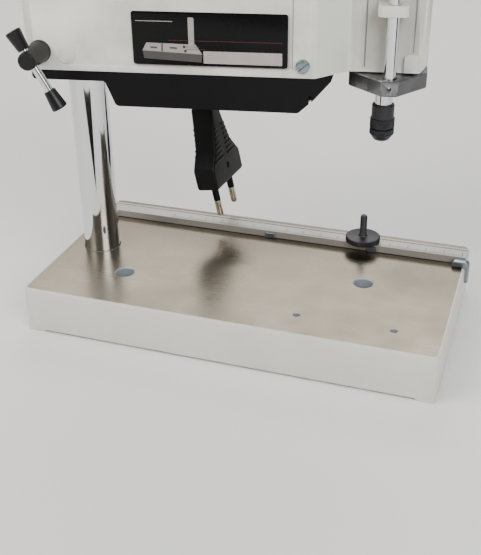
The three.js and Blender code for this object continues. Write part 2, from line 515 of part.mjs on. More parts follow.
// ---------------------------------------------------------------- column clamp
function clamp() {
  const { x, z, hubRadius, endRadius, face, end, tilt, slide } = CLAMP;
  const barY = end + 5;
  const place = (g) => g.rotateY(-THREE.MathUtils.degToRad(tilt)).translate(x, barY, z);
  add(head, 'clamp_hub', BLACK, cut(solid(crossBar(x, z, end, face - GAP, endRadius, 28, hubRadius)),
    place(bar(0, 0, -20, 20, 2.3, 20)), crossBar(x, z, barY + 2.6, face + 1, 2.6, 20)));
  add(head, 'clamp_stud', STEEL, crossBar(x, z, barY + 2.9, HEAD.halfWidth + 4, 2.4, 20));
  const slid = (g) => place(g.translate(0, 0, -slide));
  add(head, 'clamp_bar', STEEL, slid(bar(0, 0, -19, 19, 2, 20)));
  for (const [i, side] of [-1, 1].entries()) {
    const body = cut(solid(bar(0, 0, 11, 21, 2.8, 24, 4)), bar(0, 0, 10, 19.3, 2.3, 20));
    const geometry = geometryOf(body);
    if (side < 0) geometry.rotateX(Math.PI);
    add(head, i ? 'clamp_grip_upper' : 'clamp_grip_lower', BLACK, slid(geometry));
  }
}

// ---------------------------------------------------------------- mains lead
const LEAD = [
  [-6, 50.3, 165], [-6, 58.4, 163.3], [-6, 65.6, 158.5], [-5.6, 70.4, 151.4], [-4.6, 72, 143], [-1.2, 71.6, 132.8],
  [6.2, 70.2, 124.6], [16.6, 68, 121.2], [27, 65.6, 124.6], [33.4, 63.4, 132.8], [36.6, 61, 144], [37.25, 57.5, 158],
  [37.25, 53, 175], [37.25, 48, 195], [37.25, 44.6, 212], [37.25, 43, 225], [37.25, 38, 236.4], [37.25, 29.6, 243.2],
  [37.25, 20.2, 244.55],
];
const DROP = [
  [22.2, 35.25, 250.05], [33, 35.7, 250], [44.4, 36.1, 247.3], [52, 36.5, 240.4], [55.6, 36.8, 230], [56, 37, 217],
  [55, 37, 200], [53, 37, 182], [50.8, 37, 164], [49, 37, 146], [48.4, 37, 132], [48.9, 37, 125],
  [PLUG.x - (PLUG.relief + GAP) * Math.sin(THREE.MathUtils.degToRad(PLUG.tilt)), PLUG.y,
    PLUG.z + (PLUG.relief + GAP) * Math.cos(THREE.MathUtils.degToRad(PLUG.tilt))],
];

function lead() {
  const roof = HEAD.roof + GAP;
  add(head, 'cord_lead', RUBBER, cordTube(LEAD, 34));
  add(head, 'cord_coil', RUBBER, ring(CORD.coilX, 0, CORD.coilInner, CORD.coilOuter, roof, roof + CORD.layers * CORD_DIAMETER, 36));
  add(head, 'cord_drop', RUBBER, cordTube(DROP, 26));
}

/** The two-pin plug, built with its pins pointing down from the origin, then hung on the lead. */
function plug() {
  const { x, y, z, tilt, turn, width, thick, body, relief } = PLUG;
  const w = width / 2;
  const place = (g) => g.rotateZ(THREE.MathUtils.degToRad(turn))
    .rotateY(-THREE.MathUtils.degToRad(tilt)).translate(x, y, z);
  const shell = across([[-w, 1.5], [-w + 1.5, 0], [w - 1.5, 0], [w, 1.5], [w - 1.5, 12], [10, 22], [7, 34], [4.5, body + 2],
    [-4.5, body + 2], [-7, 34], [-10, 22], [-w + 1.5, 12]], -thick / 2, thick / 2);
  add(head, 'plug_body', RUBBER, geometryOf(cut(join(place(shell), place(bar(0, 0, body, relief, 4.5, 20, 3.4))),
    ...[-9.3, 9.3].map((u) => place(bar(u, 0, -1, 6, 2.3, 16))))));
  for (const [i, u] of [-9.3, 9.3].entries()) {
    add(head, `plug_pin_${i + 1}`, BRASS, place(turned(u, 0, [[0, -19], [1.2, -19], [2, -17.8], [2, 5.5], [0, 5.5]], 16)));
  }
}

motor();
pulleys();
add(head, 'quill', STEEL, quill());
spindle();
chuck();
depthStop();
feed();
clamp();
lead();
plug();

export default machine;
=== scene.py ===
"""A small bench drill press: fine meshes and real finishes around its fixed frame.

Sizes are in millimetres and are turned to metres as meshes are made. Pieces of the head are
built straight and then turned with the head about the column, which is the frame's origin.
"""

from __future__ import annotations

import logging
import math
from dataclasses import dataclass
from enum import Enum
from typing import Callable, Iterable, Sequence

import bmesh
import bpy
from mathutils import Matrix, Vector


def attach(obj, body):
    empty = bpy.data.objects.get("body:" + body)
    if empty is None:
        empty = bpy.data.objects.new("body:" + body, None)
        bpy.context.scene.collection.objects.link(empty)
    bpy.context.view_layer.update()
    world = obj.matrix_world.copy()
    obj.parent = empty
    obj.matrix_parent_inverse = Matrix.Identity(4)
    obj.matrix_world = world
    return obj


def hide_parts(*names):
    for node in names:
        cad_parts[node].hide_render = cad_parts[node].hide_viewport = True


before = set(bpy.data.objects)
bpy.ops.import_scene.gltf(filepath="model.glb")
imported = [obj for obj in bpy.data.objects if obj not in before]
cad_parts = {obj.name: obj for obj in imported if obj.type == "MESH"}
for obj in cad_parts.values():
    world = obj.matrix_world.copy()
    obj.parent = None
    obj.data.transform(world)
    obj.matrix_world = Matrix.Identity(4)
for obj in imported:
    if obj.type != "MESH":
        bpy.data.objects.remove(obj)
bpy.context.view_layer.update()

MM = 0.001
SWIVEL = math.radians(9.5)
HEAD_TURN = Matrix.Rotation(SWIVEL, 4, "Z")
STRAIGHT = Matrix.Identity(4)
LOG = logging.getLogger("drill_press")

Point2 = tuple[float, float]
Point3 = tuple[float, float, float]


# ------------------------------------------------------------------ finishes
def linear(hex_colour: str) -> tuple[float, float, float, float]:
    """Turn an sRGB hex colour into linear values.

    Args:
        hex_colour: Six hex digits, such as "D9D9D2".

    Returns:
        Linear red, green, blue and an alpha of 1.
    """
    channels = [int(hex_colour[i:i + 2], 16) / 255 for i in (0, 2, 4)]
    return (*[c / 12.92 if c <= 0.04045 else ((c + 0.055) / 1.055) ** 2.4 for c in channels], 1.0)


def add_node(tree: bpy.types.NodeTree, kind: str, settings: dict | None = None,
             **links: object) -> bpy.types.Node:
    """Add a node with its settings and its inputs.

    Args:
        tree: The material's or world's node tree.
        kind: The node's type name.
        settings: Properties of the node.
        **links: Input names, with _ for a space, and the value or output socket for each.

    Returns:
        The new node.
    """
    made = tree.nodes.new(kind)
    for key, value in (settings or {}).items():
        setattr(made, key, value)
    for key, value in links.items():
        name = key.replace("_", " ")
        numbered = name.startswith("in") and name[2:].isdigit()
        socket = made.inputs[int(name[2:]) if numbered else name]
        if isinstance(value, bpy.types.NodeSocket):
            tree.links.new(value, socket)
        else:
            socket.default_value = value
    return made


@dataclass(frozen=True)
class Finish:
    """A surface made one way: its colours, its gloss and the marks that making and use leave."""

    name: str
    slot: str
    light: str                       # the colour where the surface is freshest
    dark: str                        # the colour where it is dulled or handled
    metallic: float = 0.0
    gloss: tuple[float, float] = (0.35, 0.5)     # roughness from smoothest to dullest
    blotch: float = 25.0             # size of the slow changes, mm
    grain: float = 0.8               # size of the fine texture, mm
    stretch: Point3 = (1.0, 1.0, 1.0)            # how far the grain is drawn out along X, Y, Z
    relief: float = 0.02             # depth of the grain, mm
    coat: float = 0.0
    coat_roughness: float = 0.1
    ior: float = 1.5
    anisotropy: float = 0.0
    wear: str = ""                   # colour that shows along edges, if any
    sheen: float = 0.0
    specular: float = 0.5            # 0.5 is what the index of refraction alone gives

    def build(self) -> bpy.types.Material:
        """Make the material, or return it if it is there already."""
        found = bpy.data.materials.get(self.name)
        if found:
            return found
        material = bpy.data.materials.new(self.name)
        material.use_nodes = True
        tree = material.node_tree
        tree.nodes.clear()
        place = add_node(tree, "ShaderNodeTexCoord").outputs["Object"]
        slow = add_node(tree, "ShaderNodeTexNoise", Vector=place, Scale=1000 / self.blotch, Detail=4.0,
                        Roughness=0.6)
        drawn = add_node(tree, "ShaderNodeMapping", Vector=place, Scale=tuple(1 / s for s in self.stretch))
        fine = add_node(tree, "ShaderNodeTexNoise", Vector=drawn.outputs[0], Scale=1000 / self.grain,
                        Detail=3.0,
                        Roughness=0.55)
        colour = add_node(tree, "ShaderNodeMix", {"data_type": "RGBA"}, Factor=slow.outputs["Fac"],
                          in6=linear(self.light), in7=linear(self.dark)).outputs[2]
        if self.wear:
            colour = self._worn(tree, colour, slow.outputs["Fac"])
        blend = add_node(tree, "ShaderNodeMath", {"operation": "MULTIPLY_ADD"}, in0=fine.outputs["Fac"],
                         in1=0.5,
                         in2=slow.outputs["Fac"])
        gloss = add_node(tree, "ShaderNodeMapRange", Value=blend.outputs[0], From_Min=0.45, From_Max=1.05,
                         To_Min=self.gloss[0], To_Max=self.gloss[1])
        bump = add_node(tree, "ShaderNodeBump", Height=fine.outputs["Fac"], Distance=self.relief * MM,
                        Strength=1.0)
        shader = add_node(tree, "ShaderNodeBsdfPrincipled", Base_Color=colour, Metallic=self.metallic,
                          Roughness=gloss.outputs[0], Normal=bump.outputs[0], Coat_Weight=self.coat,
                          Coat_Roughness=self.coat_roughness, IOR=self.ior, Anisotropic=self.anisotropy,
                          Sheen_Weight=self.sheen, Specular_IOR_Level=self.specular)
        out = add_node(tree, "ShaderNodeOutputMaterial")
        tree.links.new(shader.outputs[0], out.inputs[0])
        material.diffuse_color = linear(self.light)
        return material

    def _worn(self, tree: bpy.types.NodeTree, colour: bpy.types.NodeSocket,
              mask: bpy.types.NodeSocket) -> bpy.types.NodeSocket:
        """Rub the finish through along sharp edges.

        Args:
            tree: The node tree.
            colour: The colour of the whole finish.
            mask: A slow pattern that breaks the wear up.

        Returns:
            The colour with its edges worn.
        """
        edge = add_node(tree, "ShaderNodeNewGeometry").outputs["Pointiness"]
        sharp = add_node(tree, "ShaderNodeMapRange", Value=edge, From_Min=0.53, From_Max=0.62)
        broken = add_node(tree, "ShaderNodeMapRange", Value=mask, From_Min=0.45, From_Max=0.62)
        amount = add_node(tree, "ShaderNodeMath", {"operation": "MULTIPLY", "use_clamp": True},
                          in0=sharp.outputs[0], in1=broken.outputs[0])
        return add_node(tree, "ShaderNodeMix", {"data_type": "RGBA"}, Factor=amount.outputs[0], in6=colour,
                        in7=linear(self.wear)).outputs[2]


class Finishes(Enum):
    """Every finish on the machine."""

    # stove enamel on cast iron: even, faintly rippled, softly glossy
    ENAMEL = Finish("stove_enamel", "enamel", "E1E1D8", "D6D6CC", gloss=(0.28, 0.42), blotch=60, grain=2.2,
                    relief=0.03, coat=0.35, coat_roughness=0.18, wear="C3C2B8")
    # enamel over the table's rougher sand-cast sides
    CAST_ENAMEL = Finish("cast_enamel", "enamel", "DCDCD3", "CFCFC5", gloss=(0.36, 0.52), blotch=45,
                         grain=1.6,
                         relief=0.055, coat=0.2, coat_roughness=0.25, wear="BDBCB2")
    # surface-ground aluminium: fine lines along the wheel's travel, close to a mirror across them
    GROUND = Finish("ground_aluminium", "aluminium", "938A7B", "71695C", 1.0, (0.22, 0.38), 45, 0.45,
                    (60, 1, 1), 0.003, anisotropy=0.4)
    # hard chrome, polished: nearly clean reflections with a trace of handling
    CHROME = Finish("hard_chrome", "column_chrome", "DADCDD", "CFD1D3", 1.0, (0.04, 0.1), 30, 0.5,
                    (1, 1, 30), 0.0006)
    # turned or ground steel with its tool marks round the work
    STEEL = Finish("ground_steel", "ground_steel", "A9AAAB", "8E8F90", 1.0, (0.22, 0.36), 12, 0.3,
                   (1, 1, 1), 0.003)
    # zinc plating on the small screws: bluish, slightly cloudy
    ZINC = Finish("zinc_plate", "ground_steel", "9DA6AD", "7F8990", 1.0, (0.25, 0.42), 3, 0.3, relief=0.003)
    # milled steel, oil blackened: dark grey with light corners
    MILLED = Finish("milled_steel", "dark_steel", "77787A", "5C5D5F", 1.0, (0.3, 0.45), 8, 0.35, (12, 1, 1),
                    0.006,
                    wear="A4A4A4")
    # extruded aluminium: drawn along its length, satin
    EXTRUDED = Finish("extruded_aluminium", "aluminium", "B6B2AB", "A19D96", 0.6, (0.36, 0.5), 30, 0.5,
                      (40, 1, 1),
                      0.004)
    # the drilled holes' walls: bluish, rough and bright against the ground face
    DRILLED = Finish("drilled_aluminium", "aluminium", "B4BAC0", "949BA2", 0.4, (0.45, 0.6), 4, 0.3,
                     (1, 1, 0.4), 0.01)
    TURNED = Finish("turned_aluminium", "aluminium", "C3C2BE", "AEADA9", 1.0, (0.25, 0.35), 10, 0.4,
                    relief=0.004)
    BRASS = Finish("turned_brass", "brass", "C8A45A", "A98643", 1.0, (0.22, 0.36), 8, 0.3, relief=0.003)
    NICKEL = Finish("nickel_plate", "nickel", "CDC7B8", "A89F8C", 1.0, (0.16, 0.28), 4, 0.3, relief=0.002)
    COPPER = Finish("lacquered_copper", "copper", "9C5A32", "7A4424", 0.9, (0.3, 0.45), 6, 0.5, (1, 1, 0.3),
                    0.05)
    # moulded black ABS with a fine spark-eroded texture
    ABS = Finish("black_abs", "black_plastic", "0E0E11", "09090B", gloss=(0.42, 0.55), blotch=30, grain=0.5,
                 relief=0.03, ior=1.54, specular=0.14)
    # smoother moulded grips and knobs
    GRIP = Finish("black_phenolic", "black_plastic", "161617", "0F0F10", gloss=(0.3, 0.42), blotch=12,
                  grain=0.8,
                  relief=0.008, specular=0.3)
    # black-oxidised steel, a little oily
    OXIDE = Finish("black_oxide", "black_oxide", "161617", "0F0F10", 0.3, (0.33, 0.46), 6, 0.3,
                   relief=0.006,
                   specular=0.25, wear="303031")
    # soft PVC cable sheath and plug
    SHEATH = Finish("black_pvc", "rubber", "0F0F10", "0A0A0B", gloss=(0.38, 0.5), blotch=20, grain=0.6,
                    relief=0.01,
                    specular=0.2)
    LABEL_BLACK = Finish("label_black", "label", "060607", "09090A", gloss=(0.22, 0.3), blotch=20,
                         grain=0.5,
                         relief=0.002, specular=0.16)
    LABEL_GREY = Finish("label_grey", "label", "A5A09B", "8D8884", gloss=(0.3, 0.4), blotch=8, grain=0.5,
                        relief=0.002)
    LABEL_SILVER = Finish("label_silver", "label", "BDB3B0", "A89E9B", 0.5, (0.3, 0.4), 10, 0.3, (20, 1, 1),
                          0.002)
    LABEL_SHADE = Finish("label_shade", "label", "4A4644", "3B3836", gloss=(0.3, 0.4), blotch=8, grain=0.5,
                         relief=0.002)
    LABEL_RED = Finish("label_red", "label", "5C161B", "461014", gloss=(0.3, 0.4), blotch=8, grain=0.5,
                       relief=0.002)
    INK = Finish("scale_ink", "aluminium", "3A3835", "2E2C2A", gloss=(0.5, 0.6), blotch=5, grain=0.5,
                 relief=0.002)


# ------------------------------------------------------------------ shapes
NEAR = Matrix(((1, 0, 0, 0), (0, 0, -1, 0), (0, 1, 0, 0), (0, 0, 0, 1)))     # drawn in XZ, built towards -Y
ALONG = Matrix(((0, 0, 1, 0), (1, 0, 0, 0), (0, 1, 0, 0), (0, 0, 0, 1)))     # drawn in YZ, built towards +X


class Shape:
    """A mesh in millimetres that pieces are put together from."""

    def __init__(self, points: Iterable[Sequence[float]] = (), faces: Iterable[Sequence[int]] = (),
                 marks: Iterable[int] = ()) -> None:
        """Keep the points, the faces and each face's finish number."""
        self.points = [Vector(p) for p in points]
        self.faces = [tuple(f) for f in faces]
        self.marks = list(marks) or [0] * len(self.faces)

    @classmethod
    def lathe(cls, profile: Sequence[Point2], segments: int = 72, mark: int = 0,
              wave: Callable[[float, float], float] | None = None) -> Shape:
        """Turn a profile round Z.

        Args:
            profile: Radius and height of each point; a profile that ends where it began is a ring.
            segments: How many faces go round.
            mark: The finish number of every face.
            wave: Adds to the radius at an angle and a height, such as for knurling.

        Returns:
            The turned shape.
        """
        ringed = profile[0] == profile[-1]
        rows = profile[:-1] if ringed else profile
        points: list[Point3] = []
        index: list[list[int]] = []
        for r, z in rows:
            start = len(points)
            if r < 1e-6:
                points.append((0, 0, z))
                index.append([start] * segments)
                continue
            for i in range(segments):
                a = 2 * math.pi * i / segments
                far = r + (wave(a, z) if wave else 0)
                points.append((far * math.cos(a), far * math.sin(a), z))
            index.append(list(range(start, start + segments)))
        pairs = list(zip(index, index[1:])) + ([(index[-1], index[0])] if ringed else [])
        faces = []
        for low, high in pairs:
            for i in range(segments):
                j = (i + 1) % segments
                corners = list(dict.fromkeys((low[i], low[j], high[j], high[i])))
                if len(corners) > 2:
                    faces.append(corners)
        return cls(points, faces, [mark] * len(faces))

    @classmethod
    def stack(cls, outline: Sequence[Point2], levels: Sequence[Point2], top_mark: int = 0) -> Shape:
        """Build up a closed body from one outline drawn in at each level.

        Args:
            outline: The outline's points, anticlockwise.
            levels: How far the outline is drawn in, and its height, from the bottom up.
            top_mark: The finish number of the top face.

        Returns:
            The body.
        """
        count = len(outline)
        points = [(x, y, z) for inset, z in levels for x, y in drawn_in(outline, inset)]
        faces: list[list[int]] = [list(range(count))[::-1]]
        for row in range(len(levels) - 1):
            base = row * count
            for i in range(count):
                j = (i + 1) % count
                faces.append([base + i, base + j, base + count + j, base + count + i])
        faces.append([(len(levels) - 1) * count + i for i in range(count)])
        return cls(points, faces, [0] * (len(faces) - 1) + [top_mark])

    def moved(self, matrix: Matrix) -> Shape:
        """The same shape in another place."""
        return Shape([matrix @ p for p in self.points], self.faces, self.marks)

    def shifted(self, x: float, y: float, z: float) -> Shape:
        """The same shape moved without a turn."""
        return self.moved(Matrix.Translation((x, y, z)))

    def marked(self, mark: int) -> Shape:
        """The same shape with one finish number."""
        return Shape(self.points, self.faces, [mark] * len(self.faces))

    def with_(self, *others: Shape) -> Shape:
        """The shape with others beside it or sunk into it."""
        points, faces, marks = list(self.points), list(self.faces), list(self.marks)
        for other in others:
            base = len(points)
            points += other.points
            faces += [tuple(base + i for i in f) for f in other.faces]
            marks += other.marks
        return Shape(points, faces, marks)

    def mesh(self, name: str, scale: float = 1.0) -> bpy.types.Mesh:
        """Turn the shape into mesh data with its faces turned outwards."""
        data = bpy.data.meshes.new(name)
        data.from_pydata([p * scale for p in self.points], [], self.faces)
        for polygon, mark in zip(data.polygons, self.marks):
            polygon.material_index = mark
            polygon.use_smooth = True
        work = bmesh.new()
        work.from_mesh(data)
        bmesh.ops.recalc_face_normals(work, faces=work.faces)
        work.to_mesh(data)
        work.free()
        return data

    def _solve(self, tools: Sequence[Shape], operation: str) -> Shape:
        """Run Blender's exact solver between the shape and each tool."""
        body = bpy.data.objects.new("body", self.mesh("body"))
        bpy.context.collection.objects.link(body)
        for _ in range(max(self.marks, default=0) + 1):
            body.data.materials.append(None)
        parts = [body]
        for tool in tools:
            other = bpy.data.objects.new("tool", tool.mesh("tool"))
            bpy.context.collection.objects.link(other)
            parts.append(other)
            solver = body.modifiers.new("solve", "BOOLEAN")
            solver.operation = operation
            solver.solver = "EXACT"
            solver.object = other
        data = bpy.data.meshes.new_from_object(body.evaluated_get(bpy.context.evaluated_depsgraph_get()))
        made = Shape([v.co.copy() for v in data.vertices], [tuple(p.vertices) for p in data.polygons],
                     [p.material_index for p in data.polygons])
        for part in parts:
            spent = part.data
            bpy.data.objects.remove(part)
            bpy.data.meshes.remove(spent)
        bpy.data.meshes.remove(data)
        return made

    def cut(self, *tools: Shape) -> Shape:
        """The shape with each tool's space taken out."""
        return self._solve(tools, "DIFFERENCE")

    def fused(self, *others: Shape) -> Shape:
        """The shape and others as one closed body."""
        return self._solve(others, "UNION")

    def within(self, other: Shape) -> Shape:
        """The part of the shape that lies inside another."""
        return self._solve([other], "INTERSECT")


def drawn_in(outline: Sequence[Point2], inset: float) -> list[Point2]:
    """Draw an anticlockwise outline in by a distance.

    Args:
        outline: The outline's points.
        inset: How far each side moves inwards, in mm.

    Returns:
        The new points.
    """
    made = []
    for i, (x, y) in enumerate(outline):
        before = Vector((x, y)) - Vector(outline[i - 1])
        after = Vector(outline[(i + 1) % len(outline)]) - Vector((x, y))
        first = Vector((-before.y, before.x)).normalized()
        second = Vector((-after.y, after.x)).normalized()
        middle = (first + second).normalized()
        reach = inset / max(middle.dot(first), 0.3)
        made.append((x + middle.x * reach, y + middle.y * reach))
    return made


def filleted(corners: Sequence[tuple[float, float, float]], steps: int = 6) -> list[Point2]:
    """Round the corners of an anticlockwise outline.

    Args:
        corners: X, Y and the corner's radius, 0 where it stays sharp.
        steps: Points on each rounded corner.

    Returns:
        The outline's points.
    """
    made: list[Point2] = []
    for i, (x, y, radius) in enumerate(corners):
        here = Vector((x, y))
        if not radius:
            made.append((x, y))
            continue
        back = (Vector(corners[i - 1][:2]) - here).normalized()
        on = (Vector(corners[(i + 1) % len(corners)][:2]) - here).normalized()
        half = back.angle(on) / 2
        centre = here + (back + on).normalized() * (radius / math.sin(half))
        start = here + back * (radius / math.tan(half)) - centre
        end = here + on * (radius / math.tan(half)) - centre
        turn = start.angle_signed(end)
        for s in range(steps + 1):
            spoke = start.copy()
            spoke.rotate(Matrix.Rotation(-turn * s / steps, 2))
            made.append((centre.x + spoke.x, centre.y + spoke.y))
    return made


def rectangle(x0: float, x1: float, y0: float, y1: float, radius: float = 0.0,
              steps: int = 6) -> list[Point2]:
    """A rectangle's outline, with rounded corners if a radius is given."""
    return filleted([(x0, y0, radius), (x1, y0, radius), (x1, y1, radius), (x0, y1, radius)], steps)


def rounded_levels(z0: float, z1: float, low: float, high: float, steps: int = 4) -> list[Point2]:
    """Levels of a body whose bottom and top edges are rounded.

    Args:
        z0: The bottom.
        z1: The top.
        low: The bottom edge's radius.
        high: The top edge's radius.
        steps: Levels on each rounded edge.

    Returns:
        Inset and height of each level.
    """
    quarter = [math.pi / 2 * i / steps for i in range(steps + 1)]
    bottom = [(low * (1 - math.sin(a)), z0 + low * (1 - math.cos(a))) for a in quarter]
    top = [(high * (1 - math.cos(a)), z1 - high * (1 - math.sin(a))) for a in quarter]
    return (bottom if low else [(0.0, z0)]) + (top if high else [(0.0, z1)])


def block(x0: float, x1: float, y0: float, y1: float, z0: float, z1: float, radius: float = 0.0,
          steps: int = 6) -> Shape:
    """A box whose upright edges can be rounded, used as a tool or before its edges are broken."""
    return Shape.stack(rectangle(x0, x1, y0, y1, radius, steps), [(0, z0), (0, z1)])


def bar(x: float, y: float, z0: float, z1: float, radius: float, segments: int = 64) -> Shape:
    """A round bar along Z."""
    return Shape.lathe([(0, z0), (radius, z0), (radius, z1), (0, z1)], segments).shifted(x, y, 0)


def cross_bar(x: float, z: float, y0: float, y1: float, radius: float, segments: int = 64,
              end: float | None = None) -> Shape:
    """A round bar along Y from y0 to y1, which tapers from radius to end."""
    profile = [(0, -y0), (radius, -y0), (radius if end is None else end, -y1), (0, -y1)]
    return Shape.lathe(profile, segments).moved(Matrix.Translation((x, 0, z)) @ NEAR)


def smooth_path(points: Sequence[Point3], step: float = 1.5) -> list[Vector]:
    """Run a centripetal Catmull-Rom curve through points.

    Args:
        points: The points to pass through.
        step: About how far apart the new points lie, mm.

    Returns:
        The curve's points.
    """
    given = [Vector(p) for p in points]
    given = [2 * given[0] - given[1], *given, 2 * given[-1] - given[-2]]
    made = [given[1]]
    for a, b, c, d in zip(given, given[1:], given[2:], given[3:]):
        t1 = math.sqrt((b - a).length)
        t2 = t1 + math.sqrt((c - b).length)
        t3 = t2 + math.sqrt((d - c).length)
        count = max(2, round((c - b).length / step))
        for i in range(1, count + 1):
            t = t1 + (t2 - t1) * i / count
            a1 = a * ((t1 - t) / t1) + b * (t / t1)
            a2 = b * ((t2 - t) / (t2 - t1)) + c * ((t - t1) / (t2 - t1))
            a3 = c * ((t3 - t) / (t3 - t2)) + d * ((t - t2) / (t3 - t2))
            b1 = a1 * ((t2 - t) / t2) + a2 * (t / t2)
            b2 = a2 * ((t3 - t) / (t3 - t1)) + a3 * ((t - t1) / (t3 - t1))
            made.append(b1 * ((t2 - t) / (t2 - t1)) + b2 * ((t - t1) / (t2 - t1)))
    return made


# ------------------------------------------------------------------ pieces
def soften(obj: bpy.types.Object, bevel: float, segments: int = 2, angle: float = 30.0,
           weld: bool = False) -> None:
    """Break an object's sharp edges as a file or a tumbler does.

    Args:
        obj: The object.
        bevel: The edge's width, mm.
        segments: Faces across the edge.
        angle: Edges sharper than this are broken, degrees.
        weld: Whether split points are joined first.
    """
    if weld:
        obj.modifiers.new("weld", "WELD").merge_threshold = 1e-6
    if bevel:
        edge = obj.modifiers.new("edges", "BEVEL")
        edge.width = bevel * MM
        edge.segments = segments
        edge.limit_method = "ANGLE"
        edge.angle_limit = math.radians(angle)
        edge.harden_normals = True
        edge.miter_outer = "MITER_ARC"


def fit(name: str, body: str, stands_for: Sequence[str], shape: Shape,
        finishes: Finishes | Sequence[Finishes],
        place: Matrix = HEAD_TURN, bevel: float = 0.25, segments: int = 2,
        angle: float = 30.0) -> bpy.types.Object:
    """Make a piece and hang it on its body.

    Args:
        name: The piece's name.
        body: The body that it rides on.
        stands_for: The frame's nodes that it replaces.
        shape: Its shape in mm.
        finishes: Its finish, or one for each finish number.
        place: Where the shape's own axes sit; lengths in metres.
        bevel: Width of its broken edges, mm.
        segments: Faces across a broken edge.
        angle: Edges sharper than this are broken, degrees.

    Returns:
        The piece's object.
    """
    several = [finishes] if isinstance(finishes, Finishes) else list(finishes)
    obj = bpy.data.objects.new(name, shape.mesh(name, MM))
    bpy.context.collection.objects.link(obj)
    for finish in several:
        obj.data.materials.append(finish.value.build())
    obj.matrix_world = place
    if not bevel:
        obj.data.set_sharp_from_angle(angle=math.radians(angle))
    soften(obj, bevel, segments, angle)
    bpy.context.view_layer.update()
    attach(obj, body)
    if stands_for:
        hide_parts(*stands_for)
    LOG.info("%s rides on %s", name, body)
    return obj


def dress(finish: Finishes, *nodes: str, bevel: float = 0.15) -> None:
    """Give nodes of the frame their finish and soft edges, and leave their shape."""
    for node in nodes:
        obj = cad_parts[node]
        material = finish.value.build()
        obj.data.materials.clear()
        obj.data.materials.append(material)
        for polygon in obj.data.polygons:
            polygon.use_smooth = True
            polygon.material_index = 0
        soften(obj, bevel, weld=True)
        LOG.info("%s is dressed in %s", node, finish.value.name)


def at(x: float, y: float, z: float = 0.0, turned: bool = True) -> Matrix:
    """A place in mm, in the turned head or in the standing frame."""
    return (HEAD_TURN if turned else STRAIGHT) @ Matrix.Translation((x * MM, y * MM, z * MM))


def knurl(pitch_count: int, depth: float, lead: float) -> Callable[[float, float], float]:
    """A crossed knurl.

    Args:
        pitch_count: Diamonds round the part.
        depth: Depth of the cut, mm.
        lead: Diamonds' height, mm.

    Returns:
        How much the radius changes at an angle and a height.
    """
    def wave(angle: float, z: float) -> float:
        """The cut's depth, as a negative length."""
        rise = 2 * math.pi * z / lead
        first = abs(math.sin((pitch_count * angle + rise) / 2))
        second = abs(math.sin((pitch_count * angle - rise) / 2))
        return depth * (min(first, second) - 1)
    return wave


# ------------------------------------------------------------------ camera and mains lead
@dataclass
class Camera:
    """The camera, which looks down on the operator's left side."""

    azimuth: float = 0.3476
    pitch: float = 0.5091
    roll: float = -0.0195
    position: Point3 = (0.2311466, -0.4286425, 0.2709126)
    lens: float = 60.605
    shift: float = 0.02432

    def build(self) -> None:
        """Place the camera and make it the scene's."""
        a, b, c = self.azimuth, self.pitch, self.roll
        ahead = Vector((-math.sin(a) * math.cos(b), math.cos(a) * math.cos(b), -math.sin(b)))
        level = Vector((math.cos(a), math.sin(a), 0))
        above = level.cross(ahead)
        right = level * math.cos(c) + above * math.sin(c)
        up = above * math.cos(c) - level * math.sin(c)
        data = bpy.data.cameras.new("camera")
        data.lens = self.lens
        data.shift_x = self.shift
        obj = bpy.data.objects.new("camera", data)
        bpy.context.collection.objects.link(obj)
        turn = Matrix((right, up, -ahead)).transposed().to_4x4()
        obj.matrix_world = Matrix.Translation(self.position) @ turn
        bpy.context.scene.camera = obj


